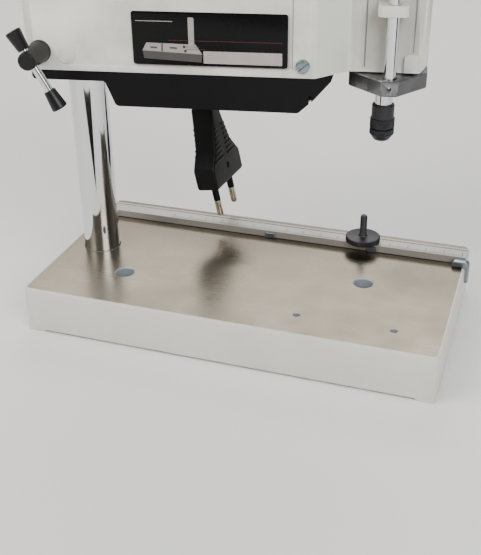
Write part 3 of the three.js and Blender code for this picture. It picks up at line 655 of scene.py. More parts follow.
@dataclass
class MainsLead:
    """A flat-ended mains lead: it rises behind the head, coils on the hood and hangs its plug."""

    radius: float = 2.75
    centre: Point2 = (2.0, 0.0)
    radii: tuple[float, float, float] = (24.25, 29.75, 35.25)
    heights: tuple[float, float, float] = (239.05, 244.55, 250.05)
    winding: tuple[Point2, ...] = ((2, 1), (2, 0), (1, 0), (0, 0), (0, 1), (1, 1), (1, 2), (2, 2))
    rise: tuple[Point3, ...] = (
        (-6, 50.3, 165), (-6, 58.4, 163.3), (-6, 65.6, 158.5), (-5.6, 70.4, 151.4), (-4.6, 72, 143),
        (-1.2, 71.6, 132.8), (6.2, 70.2, 124.6), (16.6, 68, 121.2), (27, 65.6, 124.6), (33.4, 63.4, 132.8),
        (36.6, 61, 144), (37.25, 57.5, 158), (37.25, 53, 175), (37.25, 48, 195), (37.25, 44.6, 212),
        (37.25, 43, 225), (37.25, 38, 236.4), (37.25, 29.6, 243.2), (37.25, 20.2, 244.55))
    fall: tuple[Point3, ...] = (
        (22.2, 35.25, 250.05), (33, 35.7, 250), (44.4, 36.1, 247.3), (52, 36.5, 240.4), (55.6, 36.8, 230),
        (56, 37, 217), (55, 37, 200), (53, 37, 182), (50.8, 37, 164), (49, 37, 146), (48.4, 37, 132),
        (48.9, 37, 125), (50.88, 37, 115.35))
    turn_points: int = 24            # points on a whole turn of the coil
    last_points: int = 18            # points on the last turn, which is three quarters
    plug: Point3 = (63.3, 37, 54.3)
    tilt: float = 11.5
    turn: float = 74.0

    def route(self) -> list[Vector]:
        """The lead's whole route, from the gland to the plug."""
        coil: list[Point3] = []
        angle = 0.0
        half = self.turn_points // 2
        for i, (ring, layer) in enumerate(self.winding):
            last = i == len(self.winding) - 1
            points = self.last_points if last else self.turn_points
            onward = self.winding[min(i + 1, len(self.winding) - 1)]
            for s in range(points):
                # the second half of each turn climbs or steps across to the next
                part = 0.0 if last else max(0.0, (s - half) / half)
                ease = part * part * (3 - 2 * part)
                r = self.radii[ring] * (1 - ease) + self.radii[onward[0]] * ease
                z = self.heights[layer] * (1 - ease) + self.heights[onward[1]] * ease
                a = -(angle + 2 * math.pi * s / self.turn_points)
                coil.append((self.centre[0] + r * math.cos(a), self.centre[1] + r * math.sin(a), z))
            angle += 2 * math.pi * points / self.turn_points
        coil.append((self.centre[0], self.centre[1] + self.radii[2], self.heights[2]))
        return smooth_path([*self.rise[:-1], *coil, *self.fall])

    def build(self) -> None:
        route = self.route()
        data = bpy.data.curves.new("mains_lead", "CURVE")
        data.dimensions = "3D"
        data.bevel_depth = self.radius * MM
        data.bevel_resolution = 6
        data.use_fill_caps = True
        spline = data.splines.new("POLY")
        spline.points.add(len(route) - 1)
        for point, place in zip(spline.points, route):
            point.co = (*(place * MM), 1)
        spline.use_smooth = True
        obj = bpy.data.objects.new("mains_lead", data)
        bpy.context.collection.objects.link(obj)
        data.materials.append(Finishes.SHEATH.value.build())
        obj.matrix_world = HEAD_TURN
        bpy.context.view_layer.update()
        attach(obj, "head")
        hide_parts("cord_lead", "cord_coil", "cord_drop")
        self.build_plug()

    def build_plug(self) -> list[bpy.types.Object]:
        """Make the plug's moulded body and its two sleeved pins."""
        place = HEAD_TURN @ Matrix.Translation(Vector(self.plug) * MM)
        place = place @ Matrix.Rotation(-math.radians(self.tilt), 4,
                                        "Y") @ Matrix.Rotation(math.radians(self.turn), 4, "Z")
        half, thick = 17.4, 6.75
        outline = filleted([(-half, 0, 2), (half, 0, 2), (half, 12.5, 5), (10.2, 22, 8), (6.6, 35, 8),
                            (4.4, 45, 1),
                            (-4.4, 45, 1), (-6.6, 35, 8), (-10.2, 22, 8), (-half, 12.5, 5)], 5)
        edges = rounded_levels(-thick, thick, 1.6, 1.6, 5)
        body = Shape.stack(outline, edges).moved(NEAR)
        # the grip: ribs across both broad sides, beside a plain spine
        ribs = []
        for side in (-1, 1):
            for i in range(7):
                z = 15.5 + 2.9 * i
                reach = 15.5 - 0.55 * max(0.0, z - 12.5) if z < 24 else 9.2 - 0.22 * (z - 24)
                for hand in (-1, 1):
                    x0, x1 = sorted((hand * 2.6, hand * max(reach - 1.0, 4.2)))
                    rib = Shape.stack(rectangle(x0, x1, z - 0.65, z + 0.65, 0.5, 3),
                                      rounded_levels(side * 6.4 - 0.9, side * 6.4 + 0.9, 0.5, 0.5, 3))
                    ribs.append(rib.moved(NEAR))
        dimple = [Shape.lathe([(0, side * 6.05), (1.5, side * 6.05), (2.1, side * 7.2), (0, side * 7.2)],
                              40)
                  .moved(NEAR).shifted(0, 0, 9) for side in (-1, 1)]
        relief = [(0, 40)] + [(4.2 - 0.055 * (z - 42) - (0.55 if i % 2 else 0), z)
                              for i, z in enumerate(42 + 1.25 * j for j in range(17))]
        relief += [(3.05, 62.2), (0, 62.2)]
        sockets = [bar(u, 0, -1, 6, 2.3, 40) for u in (-9.3, 9.3)]
        shell = body.cut(*dimple, *sockets).with_(*ribs, Shape.lathe(relief, 48))
        pieces = [fit("plug_body_moulded", "head", ["plug_body"], shell, Finishes.SHEATH, place,
                      bevel=0.25)]
        for i, u in enumerate((-9.3, 9.3)):
            sleeve = Shape.lathe([(0, 5.5), (1.98, 5.5), (1.98, -8.8), (1.8, -9.1), (0, -9.1)], 40)
            metal = Shape.lathe([(0, -9.1), (1.86, -9.1), (1.9, -9.4), (1.9, -17.4), (1.5, -18.5),
                                 (0.8, -19), (0, -19)],
                                40, mark=1)
            pieces.append(fit(f"plug_pin_{i + 1}_sleeved", "head", [f"plug_pin_{i + 1}"],
                              sleeve.with_(metal),
                              (Finishes.ABS, Finishes.NICKEL), place @ Matrix.Translation((u * MM, 0, 0)),
                              bevel=0.15))
        return pieces


# ------------------------------------------------------------------ table, column and fence
@dataclass
class Table:
    """The cast table with its ground top, and the column that stands in it."""

    centre: float = 91.5
    half_length: float = 110.0
    half_width: float = 60.0
    column: float = 10.0
    holes: tuple[tuple[float, float, float], ...] = ((-65, -27, 5), (61, 0, 5), (36, -41.5, 1.8),
                                                     (85, -41.5, 1.8))

    def build(self) -> None:
        """Make the casting, the column and its cap."""
        outline = rectangle(-self.half_length, self.half_length, -self.half_width, self.half_width, 4, 8)
        levels = [(1.0, 1.6), (0.3, 1.8), (0.0, 2.5), (0.0, 24.6), (0.1, 25.1), (0.35, 25.55),
                  (0.75, 25.84),
                  (1.25, 25.92), (1.5, 25.9), (1.56, 26.0)]
        casting = Shape.stack(outline, levels, top_mark=1)
        inner = rectangle(-104, 104, -54, 54, 3, 4)
        pocket = Shape.stack(inner, [(0, -1), (0, 18.5), (0.6, 19.6), (1.6, 20)])
        casting = casting.cut(pocket)
        x = -self.centre
        boss = Shape.lathe([(0, 0), (16.4, 0), (17, 0.6), (17, 23), (0, 23)], 96).shifted(x, 0, 0)
        pads = [Shape.stack(rectangle(sx * 104.4 - 5, sx * 104.4 + 5, sy * 54.4 - 5, sy * 54.4 + 5, 1.5, 4),
                            [(0.5, 0), (0, 0.5), (0, 22)]) for sx in (-1, 1) for sy in (-1, 1)]
        casting = casting.fused(boss, *pads)
        tools = [bar(x, 0, 3, 30, self.column + 0.45, 128)]
        for hx, hy, r in self.holes:
            lip = 0.5 if r > 3 else 0.3
            tools.append(Shape.lathe([(0, -1), (r, -1), (r, 26 - lip), (r + lip + 1, 27), (0, 27)], 72,
                                     mark=2)
                         .shifted(hx, hy, 0))
        tools.append(Shape.lathe([(0, 0), (2.8, 0), (2.8, 20), (0, 20)], 40)
                     .moved(Matrix.Translation((x - 9, 0, 12)) @ Matrix.Rotation(-math.pi / 2, 4, "Y")))
        casting = casting.cut(*tools)
        fit("table_cast_and_ground", "base", ["table_casting"], casting,
            (Finishes.CAST_ENAMEL, Finishes.GROUND, Finishes.DRILLED),
            at(self.centre, 0, turned=False), bevel=0.0)
        dress(Finishes.OXIDE, "column_grub_screw")
        tube = [(7, 3.3), (9.4, 3.3), (10, 3.9), (10, 285.2), (9.2, 286), (7, 286), (7, 3.3)]
        fit("column_chromed", "column", ["column"], Shape.lathe(tube, 160), Finishes.CHROME,
            at(0, 0, turned=False),
            bevel=0.0)
        cap = [(0, 278), (6.7, 278), (6.7, 286.3), (9.7, 286.3), (9.75, 286.8), (9.5, 287.6), (8.6, 288.15),
               (0, 288.3)]
        fit("column_cap_moulded", "column", ["column_cap"], Shape.lathe(cap, 96), Finishes.ABS,
            at(0, 0, turned=False), bevel=0.1)


@dataclass
class Fence:
    """The ruled aluminium fence, its spring clips and the thumb screw that stands on it."""

    centre: float = 91.5
    left: float = -104.0
    right: float = 109.5
    near: float = 36.5
    low: float = 26.3
    zero: float = -62.7
    divisions: int = 170

    def build(self) -> None:
        """Make the rail with its scale, the clips and the screw."""
        far, top = self.near + 11, self.low + 4
        profile = [(self.near, self.low), (far, self.low), (far, top), (far - 1.8, top),
                   (far - 1.8, top - 0.6),
                   (far - 2.6, top - 0.6), (far - 2.6, top), (self.near, top)]
        rail = Shape.stack(profile, [(0, self.left), (0, self.right)]).moved(ALONG)
        pads = [Shape.stack(rectangle(x - 3, x + 3, self.near - 1.2, self.near + 1, 0.4, 3),
                            rounded_levels(self.low, self.low + 3, 0.2, 0.4, 3)).marked(1) for x in (-1.5,
                                58)]
        fit("fence_rail_extruded", "fence", ["fence_rail"], rail.with_(*pads),
            (Finishes.EXTRUDED, Finishes.ZINC),
            at(self.centre, 0, turned=False), bevel=0.3)
        marks = []
        for i in range(self.divisions + 1):
            reach = 4.6 if i % 10 == 0 else 3.1 if i % 5 == 0 else 1.9
            x = self.zero + i
            half = 0.2 if i % 10 == 0 else 0.14
            marks.append(block(x - half, x + half, self.near + 0.5, self.near + 0.5 + reach, top - 0.05,
                               top + 0.02))
        fit("fence_scale", "fence", [], marks[0].with_(*marks[1:]), Finishes.INK,
            at(self.centre, 0, turned=False),
            bevel=0.0)
        for name, hand in (("right", 1), ("left", -1)):
            self.build_clip(name, hand)
        ridges = [(9.3 + 0.3 * (i % 2)) for i in range(120)]
        disc = [(r * math.cos(2 * math.pi * i / 120), r * math.sin(2 * math.pi * i / 120)) for i,
                r in enumerate(ridges)]
        wheel = Shape.stack(disc, rounded_levels(0, 3.2, 0.5, 0.5, 3))
        thread = [(2.0 - 0.3 * (j % 2), 4.4 + 0.35 * j) for j in range(30)]
        stem = Shape.lathe([(0, 2), (2.8, 3.1), (2.3, 3.5), (2.0, 4.2), *thread, (1.9, 15), (1.3, 15.8),
                            (0, 16)], 48)
        fit("fence_thumb_screw_knurled", "thumb_screw", ["fence_thumb_screw"], wheel.with_(stem),
            Finishes.OXIDE,
            at(self.centre + 51.8, 40, top + 0.3, turned=False), bevel=0.0)

    def build_clip(self, name: str, hand: int) -> None:
        """Make one spring clip, folded from strip round the table's end."""
        edge, low = 110.3, self.low
        y = self.near - 2.55
        strip = filleted([(edge - 7.5, low, 0.6), (edge - 1.2, low, 0), (edge, low - 0.4, 0),
                          (edge, low - 9, 0.5),
                          (edge + 1.8, low - 9, 0.8), (edge + 1.8, low + 3.2, 2.4),
                          (edge - 7.5, low + 3.2, 1.5)], 6)
        shape = Shape.stack(strip, rounded_levels(-2.25, 2.25, 0.5, 0.5, 3)).moved(NEAR)
        if hand < 0:
            shape = shape.moved(Matrix.Rotation(math.pi, 4, "Z"))
        fit(f"fence_clip_{name}_folded", "fence", [f"fence_clip_{name}"], shape, Finishes.ZINC,
            at(self.centre, y, turned=False), bevel=0.0)


# ------------------------------------------------------------------ head
@dataclass
class Head:
    """The cast head with its tray, hood, belt cover, label and switch."""

    rear: float = -21.0
    half: float = 30.0
    shoulder: float = 122.0
    nose_start: float = 136.5
    nose_end: float = 174.0
    nose: float = 16.0
    bottom: float = 137.0
    deck: float = 190.0
    roof: float = 236.0
    hood_end: float = 43.0
    spindle: float = 154.5
    screws: tuple[Point2, ...] = ((116.3, 143.2), (116.3, 184.0))

    def outline(self, end: float, start: float | None = None, nose_radius: float = 3.4) -> list[Point2]:
        """The head's outline in plan between two places along its length.

        Args:
            end: Where it stops, towards the nose.
            start: Where it starts; the whole rear if not given.
            nose_radius: Radius of the nose's corners.

        Returns:
            The outline, anticlockwise.
        """
        first = self.rear if start is None else start
        corner = 5.0 if start is None else 0.0
        if end <= self.shoulder:
            near = [(first, -self.half, corner), (end, -self.half, 0.0)]
        elif end < self.nose_start:
            run = self.nose_start - self.shoulder
            narrowed = self.half - (end - self.shoulder) * (self.half - self.nose) / run
            near = [(first, -self.half, corner), (self.shoulder, -self.half, 2.0), (end, -narrowed, 0.0)]
        else:
            near = [(first, -self.half, corner), (self.shoulder, -self.half, 2.5),
                    (self.nose_start, -self.nose, 2.0),
                    (end, -self.nose, nose_radius)]
        return filleted(near + [(x, -y, r) for x, y, r in reversed(near)], 6)

    def build(self) -> None:
        """Make every piece of the head's housing."""
        self.build_casting()
        self.build_tray()
        self.build_lids()
        self.build_label()
        self.build_fittings()

    def build_casting(self) -> None:
        """Make the enamelled casting with its bores."""
        half, nose, deck, bottom = self.half, self.nose, self.deck, self.bottom
        s = self.spindle
        casting = Shape.stack(self.outline(self.nose_end), rounded_levels(bottom, deck, 0.35, 0.4, 3))
        casting = casting.cut(Shape.stack([(self.nose_end - 4.5, bottom - 1),
                                           (self.nose_end + 1, bottom - 1),
                                           (self.nose_end + 1, bottom + 5)],
                                          [(0, -20), (0, 20)]).moved(NEAR))
        lug = Shape.stack(rectangle(s - 5, s + 9, -28, -nose + 1, 2.5, 5),
                          rounded_levels(166, 171, 0.4, 0.4, 3))
        step = Shape.stack([(163, 137.5), (169.5, 137.5), (169.5, 146.5), (164.5, 146.5), (163, 145)],
                           rounded_levels(nose - 1, nose + 1.6, 0, 0.35, 3)).moved(NEAR)
        boss = Shape.lathe([(0, -8), (12.5, -8), (12.5, -31.6), (12.1, -32), (0, -32)], 96) \
            .moved(Matrix.Translation((138.45, 0, 150)) @ NEAR)
        disc = Shape.lathe([(0, half - 1), (4.1, half - 1), (4.1, half + 0.3), (3.85, half + 0.5),
                            (0, half + 0.5)], 72) \
            .moved(Matrix.Translation((0, 0, 144.7)) @ NEAR)
        casting = casting.fused(lug, step, boss, disc)
        tools = [block(22, 116, -half + 4, half - 4, bottom - 1, deck - 6)]
        for x, low in ((144.3, bottom + 2.5), (166.9, 147)):
            tools.append(block(x - 0.4, x + 0.4, -nose - 1, -nose + 1.2, low, deck + 1, 0.3, 3))
        for side in (-1, 1):
            y = side * half
            tools.append(block(110.7, 111.5, y - 0.8, y + 0.8, 141.5, deck + 1, 0.3, 3))
        tools += [bar(0, 0, bottom - 1, deck + 1, 10.4, 96), block(-22, -8, -1, 1, bottom - 1, deck + 1),
                  cross_bar(-12.6, 146.5, -half - 1, half + 1, 2.8), bar(68, 0, deck - 7, deck + 1, 8),
                  bar(s, 0, bottom - 1, 184.5, 11.3, 96), bar(s, 0, 184, 185.2, 8.4),
                  bar(s, 0, 185, deck + 1, 12.3),
                  cross_bar(138.45, 150, -9, 9, 7.6), cross_bar(138.45, 150, -12.5, 33, 4.3),
                  cross_bar(138.45, 150, 25, 33, 11), bar(s + 2.3, -23, 165, 172, 3.3),
                  cross_bar(-6, 165, half - 7, half + 1, 4.2), block(88, 104, half - 5, half + 1, 158, 172)]
        tools += [cross_bar(x, z, -31, -24, 1.9, 32) for x, z in self.screws]
        fit("head_cast", "head", ["head_casting"], casting.cut(*tools), Finishes.ENAMEL, bevel=0.25,
            angle=40)

    def build_tray(self) -> None:
        """Make the moulded tray under the head."""
        side = filleted([(-22, 134.4, 0.5), (-18, 132, 2.5), (18.5, 132, 2), (23.4, 119.5, 2.6),
                         (114.2, 119.5, 2.5),
                         (129.2, 133.5, 1.2), (131, 139, 0), (-22, 139, 0)], 5)
        body = Shape.stack(side, [(0, -31), (0, 31)]).moved(NEAR)
        body = body.within(Shape.stack(drawn_in(self.outline(130.8), 0.8), [(0, 110), (0, 136.69)]))
        well = Shape.stack([(26.5, 122.5), (110, 122.5), (117, 138), (26, 138)],
                           [(0, -25), (0, 25)]).moved(NEAR)
        tools = [well, bar(0, 0, 131, 138, 11, 96)]
        tools += [block(50 + 7 * i, 53 + 7 * i, -14, 14, 118, 124, 1.4, 5) for i in range(6)]
        tools.append(block(119.2, 120.4, -30, -24.5, 118, 128.4))
        fit("bottom_tray_moulded", "head", ["bottom_tray"], body.cut(*tools), Finishes.ABS, bevel=0.3)

    def hinge(self, y: float, gap: float) -> Shape:
        """One barrel of the hinge between the hood and the cover."""
        return cross_bar(42.85, 237.8, y - 4 - gap, y + 4 + gap, 2.4 + gap, 40)

    def build_lids(self) -> None:
        """Make the rear hood, the belt cover and the pin that joins them."""
        # the roof's rounding and the wall stay smaller than the outline's fillets
        low, thick = self.deck + 0.3, 2.3
        shell = rounded_levels(low, self.roof, 0.4, 2.2, 6)
        bore = cross_bar(42.85, 237.8, -26, 26, 1.3, 32)
        plan = filleted([(self.rear, -30, 5), (60, -30, 5), (60, 30, 5), (self.rear, 30, 5)], 6)
        hood = Shape.stack(plan, shell).cut(block(42.7, 70, -40, 40, low - 5, self.roof + 5))
        hood = hood.cut(block(self.rear + thick, 44, -27.5, 27.5, low - 1, self.roof - thick))
        sleeve = bar(0, 0, low, self.roof - 1, 13, 96)
        lip = Shape.lathe([(0, 230), (14.2, 230), (14.2, 236.1), (13.6, 236.25), (0, 236.25)], 96)
        hood = hood.fused(sleeve, lip, self.hinge(-20, 0), self.hinge(20, 0))
        hood = hood.cut(self.hinge(-11, 0.3), self.hinge(11, 0.3), bar(0, 0, low - 1, 240, 10.45, 96), bore)
        fit("rear_hood_pressed", "head", ["rear_hood"], hood, Finishes.ENAMEL, bevel=0.2, angle=40)
        cover = Shape.stack(self.outline(self.nose_end, self.hood_end - 20), shell)
        cover = cover.cut(block(self.hood_end - 40, self.hood_end, -40, 40, low - 5, self.roof + 5))
        inner = drawn_in(self.outline(self.nose_end, self.hood_end - 8), thick)
        cover = cover.cut(Shape.stack(inner, [(0, low - 1), (0, self.roof - thick)]))
        cover = cover.fused(self.hinge(-11, 0), self.hinge(11, 0)).cut(self.hinge(-20, 0.3),
            self.hinge(20, 0.3), bore)
        fit("belt_cover_pressed", "belt_cover", ["belt_cover"], cover, Finishes.ENAMEL, bevel=0.2, angle=40)
        dress(Finishes.STEEL, "hinge_pin", bevel=0.3)

    def build_label(self) -> None:
        """Make the label: a plain drawing of a small table and a post, and a blank strip."""
        face = self.half + 0.8
        plate = Shape.stack(rectangle(34.4, 109.1, 141.8, 167, 1.2, 5),
                            rounded_levels(self.half + 0.3, face, 0, 0.12, 2))
        thin = [(0, face - 0.05), (0, face + 0.03)]
        thick = [(0, face - 0.05), (0, face + 0.05)]
        top = Shape.stack([(39.2, 148.5), (68.3, 147.3), (65.2, 151.9), (41.2, 152.3)], thin)
        front = Shape.stack([(39.2, 148.5), (39.8, 144.7), (68, 143.4), (68.3, 147.3)], thin)
        slots = [Shape.stack(filleted([(a, 149.7, 0.3), (a + 3.6, 149.55, 0.3), (a + 3.5, 150.4, 0.3),
                                       (a + 0.1, 150.55, 0.3)], 3), thick) for a in (43, 52.6)]
        slots.append(Shape.stack([(48.4, 148.3), (49.2, 148.2), (49.3, 152.1), (48.6, 152.1)], thick))
        post = Shape.stack(rectangle(61.8, 64.6, 150, 164.6, 0.5, 3), thick)
        strip = Shape.stack(rectangle(68.9, 106.5, 143, 148.9, 0.3, 3), thin)
        line = Shape.stack(rectangle(36.4, 54.4, 162.4, 162.7), thin)
        leaders = [Shape.stack(rectangle(x0, x1, z, z + 0.22), thick)
                   for x0, x1, z in ((52, 106.5, 153.6), (59.9, 67.2, 150.6), (60.5, 70.2, 149.5))]
        dots = [Shape.lathe([(0, face - 0.05), (0.7, face - 0.05), (0.7, face + 0.06), (0, face + 0.06)],
                            32)
                .shifted(x, z, 0) for x, z in ((59.6, 150.7), (60.2, 148.7))]
        drawn = plate.with_(top.marked(1), post.marked(1), front.marked(2),
                            *[slot.marked(2) for slot in slots], strip.marked(3), line.marked(3),
                            *[leader.marked(4) for leader in leaders], *[dot.marked(4) for dot in dots])
        fit("label_printed", "head", ["label_plate"], drawn.moved(NEAR),
            (Finishes.LABEL_BLACK, Finishes.LABEL_GREY, Finishes.LABEL_SHADE, Finishes.LABEL_SILVER,
             Finishes.LABEL_RED),
            bevel=0.0)

    def build_fittings(self) -> None:
        """Make the side screws, the switch and the cable gland."""
        for i, (x, z) in enumerate(self.screws):
            crown = Shape.lathe([(0, 0), (1.6, 0), (1.6, 5.3), (3.2, 5.3), (3.25, 5.5), (3.25, 6.7),
                                 (2.9, 7.15),
                                 (2.2, 7.3), (0, 7.3)], 64)
            slotted = crown.cut(block(-4, 4, -0.5, 0.5, 6.2, 8))
            place = at(x, -25, z) @ NEAR @ Matrix.Rotation(math.radians(40 + 25 * i), 4, "Z")
            fit(f"side_screw_{i + 1}_slotted", "head", [f"side_screw_{i + 1}"], slotted, Finishes.ZINC,
                place, bevel=0.1)
        frame_body = Shape.stack(rectangle(86.5, 105.5, 156.5, 173.5, 1.5, 5),
                                 rounded_levels(-32.3, -30.3, 0.7, 0, 3))
        can = block(88.5, 103.5, 158.5, 171.5, -31, -21, 0.6, 3)
        body = frame_body.fused(can).cut(block(90.5, 101.5, 160, 170, -33, -24, 0.8, 4))
        fit("switch_body_moulded", "head", ["switch_body"], body.moved(NEAR), Finishes.ABS, bevel=0.15)
        rocker = Shape.stack([(91.4, -31.6), (92.2, -32.6), (96, -31.4), (99.8, -32.9), (100.6, -32),
                              (100.6, -27),
                              (91.4, -27)], rounded_levels(161, 169, 0.4, 0.4, 3))
        rocker = rocker.moved(Matrix.Diagonal((1, -1, 1, 1)))
        dot = Shape.lathe([(0, 0), (0.9, 0), (0.9, 0.1), (0, 0.1)], 32).marked(1)
        fit("switch_rocker_moulded", "rocker", ["switch_rocker"],
            rocker.with_(dot.moved(Matrix.Translation((94, 31.95, 165)) @ Matrix.Rotation(-math.pi / 2, 4,
                "X"))),
            (Finishes.GRIP, Finishes.LABEL_GREY), bevel=0.2)
        rings = [(0, -24), (3.9, -24), (3.9, -30.3), (6, -30.3), (6, -32.4), (5.4, -33), (4.9, -33)]
        rings += [(4.85 - 0.09 * j - (0.5 if j % 2 else 0), -33.6 - 1.2 * j) for j in range(13)]
        rings += [(3.5, -50), (3.0, -50), (3.0, -47), (0, -47)]
        fit("cable_gland_moulded", "head", ["cable_gland"], Shape.lathe(rings, 64), Finishes.SHEATH,
            at(-6, 0, 165) @ NEAR, bevel=0.12)


# ------------------------------------------------------------------ moving parts
@dataclass
class ColumnClamp:
    """The tommy bar and hub that clamp the head to its column."""

    x: float = -12.6
    z: float = 146.5
    end: float = -50.0
    tilt: float = 28.0
    slide: float = 6.0               # how far the bar hangs below its middle

    def build(self) -> None:
        """Make the hub, its stud, the bar and the grips."""
        place = at(self.x, 0, self.z) @ NEAR
        hub = Shape.lathe([(0, 30.3), (5.3, 30.3), (5.55, 30.6), (5.55, 31.9), (5.3, 32.1), (4.45, 48.4),
                           (4.35, 49.5),
                           (3.9, 50), (0, 50)], 72)
        across = Matrix.Translation((0, 0, 45)) @ Matrix.Rotation(math.radians(90), 4, "X")
        lean = Matrix.Rotation(math.radians(self.tilt), 4, "Z")
        hole = bar(0, 0, -20, 20, 2.3).moved(lean @ across)
        stud_hole = bar(0, 0, 29, 42.4, 2.6)
        fit("clamp_hub_moulded", "clamp", ["clamp_hub"], hub.cut(hole, stud_hole), Finishes.GRIP, place,
            bevel=0.12)
        dress(Finishes.STEEL, "clamp_stud")
        middle = at(self.x, self.end + 5, self.z) @ Matrix.Rotation(-math.radians(self.tilt), 4, "Y")
        middle = middle @ Matrix.Translation((0, 0, -self.slide * MM))
        rod = Shape.lathe([(0, -19), (1.6, -19), (2, -18.6), (2, 18.6), (1.6, 19), (0, 19)], 64)
        fit("clamp_bar_turned", "clamp_bar", ["clamp_bar"], rod, Finishes.CHROME, middle, bevel=0.0)
        profile = [(2.2, 11), (2.75, 11), (2.95, 11.5), (3.9, 19.4), (4.0, 20.2), (3.7, 20.8), (2.9, 21),
                   (0, 21.1),
                   (0, 19.2), (2.2, 19.2), (2.2, 11)]
        for name, turn in (("upper", 0.0), ("lower", math.pi)):
            fit(f"clamp_grip_{name}_moulded", "clamp_bar", [f"clamp_grip_{name}"], Shape.lathe(profile, 64),
                Finishes.GRIP, middle @ Matrix.Rotation(turn, 4, "X"), bevel=0.08)


@dataclass
class Quill:
    """The quill with its rack, yoke and depth stop, and the spindle and chuck that it carries."""

    spindle: float = 154.5
    radius: float = 11.0
    low: float = 128.9
    high: float = 183.5
    rod: Point2 = (156.8, -23.0)

    def build(self) -> None:
        """Make the quill, the depth stop, the spindle and the chuck."""
        self.build_quill()
        self.build_stop()
        self.build_spindle()
        self.build_chuck()

    def build_quill(self) -> None:
        """Make the sleeve with its rack, which the feed pinion drives."""
        r, low, high = self.radius, self.low, self.high
        body = Shape.lathe([(9.6, low), (r - 0.3, low), (r, low + 0.3), (r, high - 0.3), (r - 0.3, high),
                            (9.6, high),
                            (9.6, high - 5.8), (5.6, high - 5.8), (5.6, low + 5.8), (9.6, low + 5.8),
                            (9.6, low)], 96)
        pitch = math.pi
        first = 150 - 2 * pitch
        tools = [block(-r - 1, -10.6, -r, r, first - pitch, high + 1)]
        for i in range(60):
            z = first + i * pitch
            if z >= high - 1:
                break
            gap = [(-12, z - 1.5), (-8.6, z - 0.65), (-8.6, z + 0.65), (-12, z + 1.5)]
            tools.append(Shape.stack(gap, [(0, -r), (0, r)]).moved(NEAR))
        fit("quill_ground", "quill", ["quill"], body.cut(*tools), Finishes.STEEL, at(self.spindle, 0),
            bevel=0.0)
        dress(Finishes.STEEL, "quill_bearing_lower", "quill_bearing_upper")

    def build_stop(self) -> None:
        """Make the yoke, the stop rod and its two nuts."""
        s = self.spindle
        x, y = self.rod
        outline = filleted([(x - 3.9, y - 5, 0.4), (x + 3.9, y - 5, 0.4), (s + 20, -12, 2.5),
                            (s + 20, 6, 3),
                            (s + 13.5, 13, 2), (s - 13, 13, 2), (s - 17.5, 8, 2), (s - 17.5, -12, 2.5)], 4)
        yoke = Shape.stack(outline, [(0.5, 128.9), (0, 129.4), (0, 136.0), (0.5, 136.5)])
        yoke = yoke.cut(bar(s, 0, 128, 137, 11.3, 96), bar(x, y, 128, 137, 3.3),
                        cross_bar(x, 132.7, y - 6, y - 1, 1, 32))
        fit("quill_yoke_milled", "quill", ["quill_yoke"], yoke, Finishes.MILLED, bevel=0.2)
        profile = [(0, 129.2), (2.7, 129.2), (3, 129.5), (3, 213.2), (2.5, 214), (0, 214)]
        fit("stop_rod_ground", "quill", ["stop_rod"], Shape.lathe(profile, 96), Finishes.CHROME, at(x, y),
            bevel=0.0)
        for i, z in enumerate((201.3, 206.1)):
            ring = [(3.2, z), (5.0, z), (5.4, z + 0.4), *[(5.4, z + 0.4 + 0.37 * j) for j in range(1, 11)],
                    (5.0, z + 4.5),
                    (3.2, z + 4.5), (3.2, z)]
            fit(f"stop_nut_{i + 1}_knurled", "stop_nuts", [f"stop_nut_{i + 1}"],
                Shape.lathe(ring, 160, wave=lambda a, h,
                            b=z: knurl(32, 0.28, 1.3)(a, h) if b + 0.3 < h < b + 4.2 else 0),
                Finishes.BRASS, at(x, y), bevel=0.0)

    def build_spindle(self) -> None:
        """Make the spindle and its narrower upper end."""
        profile = [(0, 108), (4.2, 108), (4.5, 108.3), (4.5, 122), (4.9, 122.4), (5, 122.6), (5, 129.1),
                   (5, 183.6),
                   (4.1, 184.6), (4.1, 228), (3.3, 229), (0, 229)]
        fit("spindle_ground", "spindle", ["spindle"], Shape.lathe(profile, 96), Finishes.CHROME,
            at(self.spindle, 0), bevel=0.0)

    def build_chuck(self) -> None:
        """Make the collet chuck with its two knurled bands."""
        rows = [104.6 + 0.36 * j for j in range(13)]
        body = [(2.9, 99.2), (3, 104.1), (5.9, 104.1), (6.25, 104.4), *[(6.3, z) for z in rows],
                (6.25, 109.1),
                (5.95, 109.3), (5.7, 109.6), (5.7, 116), (5.3, 116.6), (4.8, 116.6), (4.8, 107.7),
                (2.2, 107),
                (2.2, 99.2), (2.9, 99.2)]
        bite = knurl(30, 0.5, 1.5)
        fit("chuck_body_knurled", "spindle", ["chuck_body"],
            Shape.lathe(body, 240, wave=lambda a, z: bite(a, z) if 104.5 < z < 109.05 else 0),
            Finishes.OXIDE, at(self.spindle, 0), bevel=0.0)
        collar = [(3.3, 98.3), (3.5, 97.8), (3.7, 97.7), (4.1, 97.95), (5.9, 100.6), (6.2, 100.9),
                  *[(6.3, 101.1 + 0.36 * j) for j in range(7)], (6.1, 103.6), (5.7, 103.75), (3.3, 103.7),
                  (3.3, 98.3)]
        fit("chuck_nut_knurled", "chuck_nut", ["chuck_nut"],
            Shape.lathe(collar, 240, wave=lambda a, z: bite(a, z) if 101 < z < 103.4 else 0),
            Finishes.OXIDE, at(self.spindle, 0), bevel=0.0)
        dress(Finishes.STEEL, "collet", bevel=0.05)


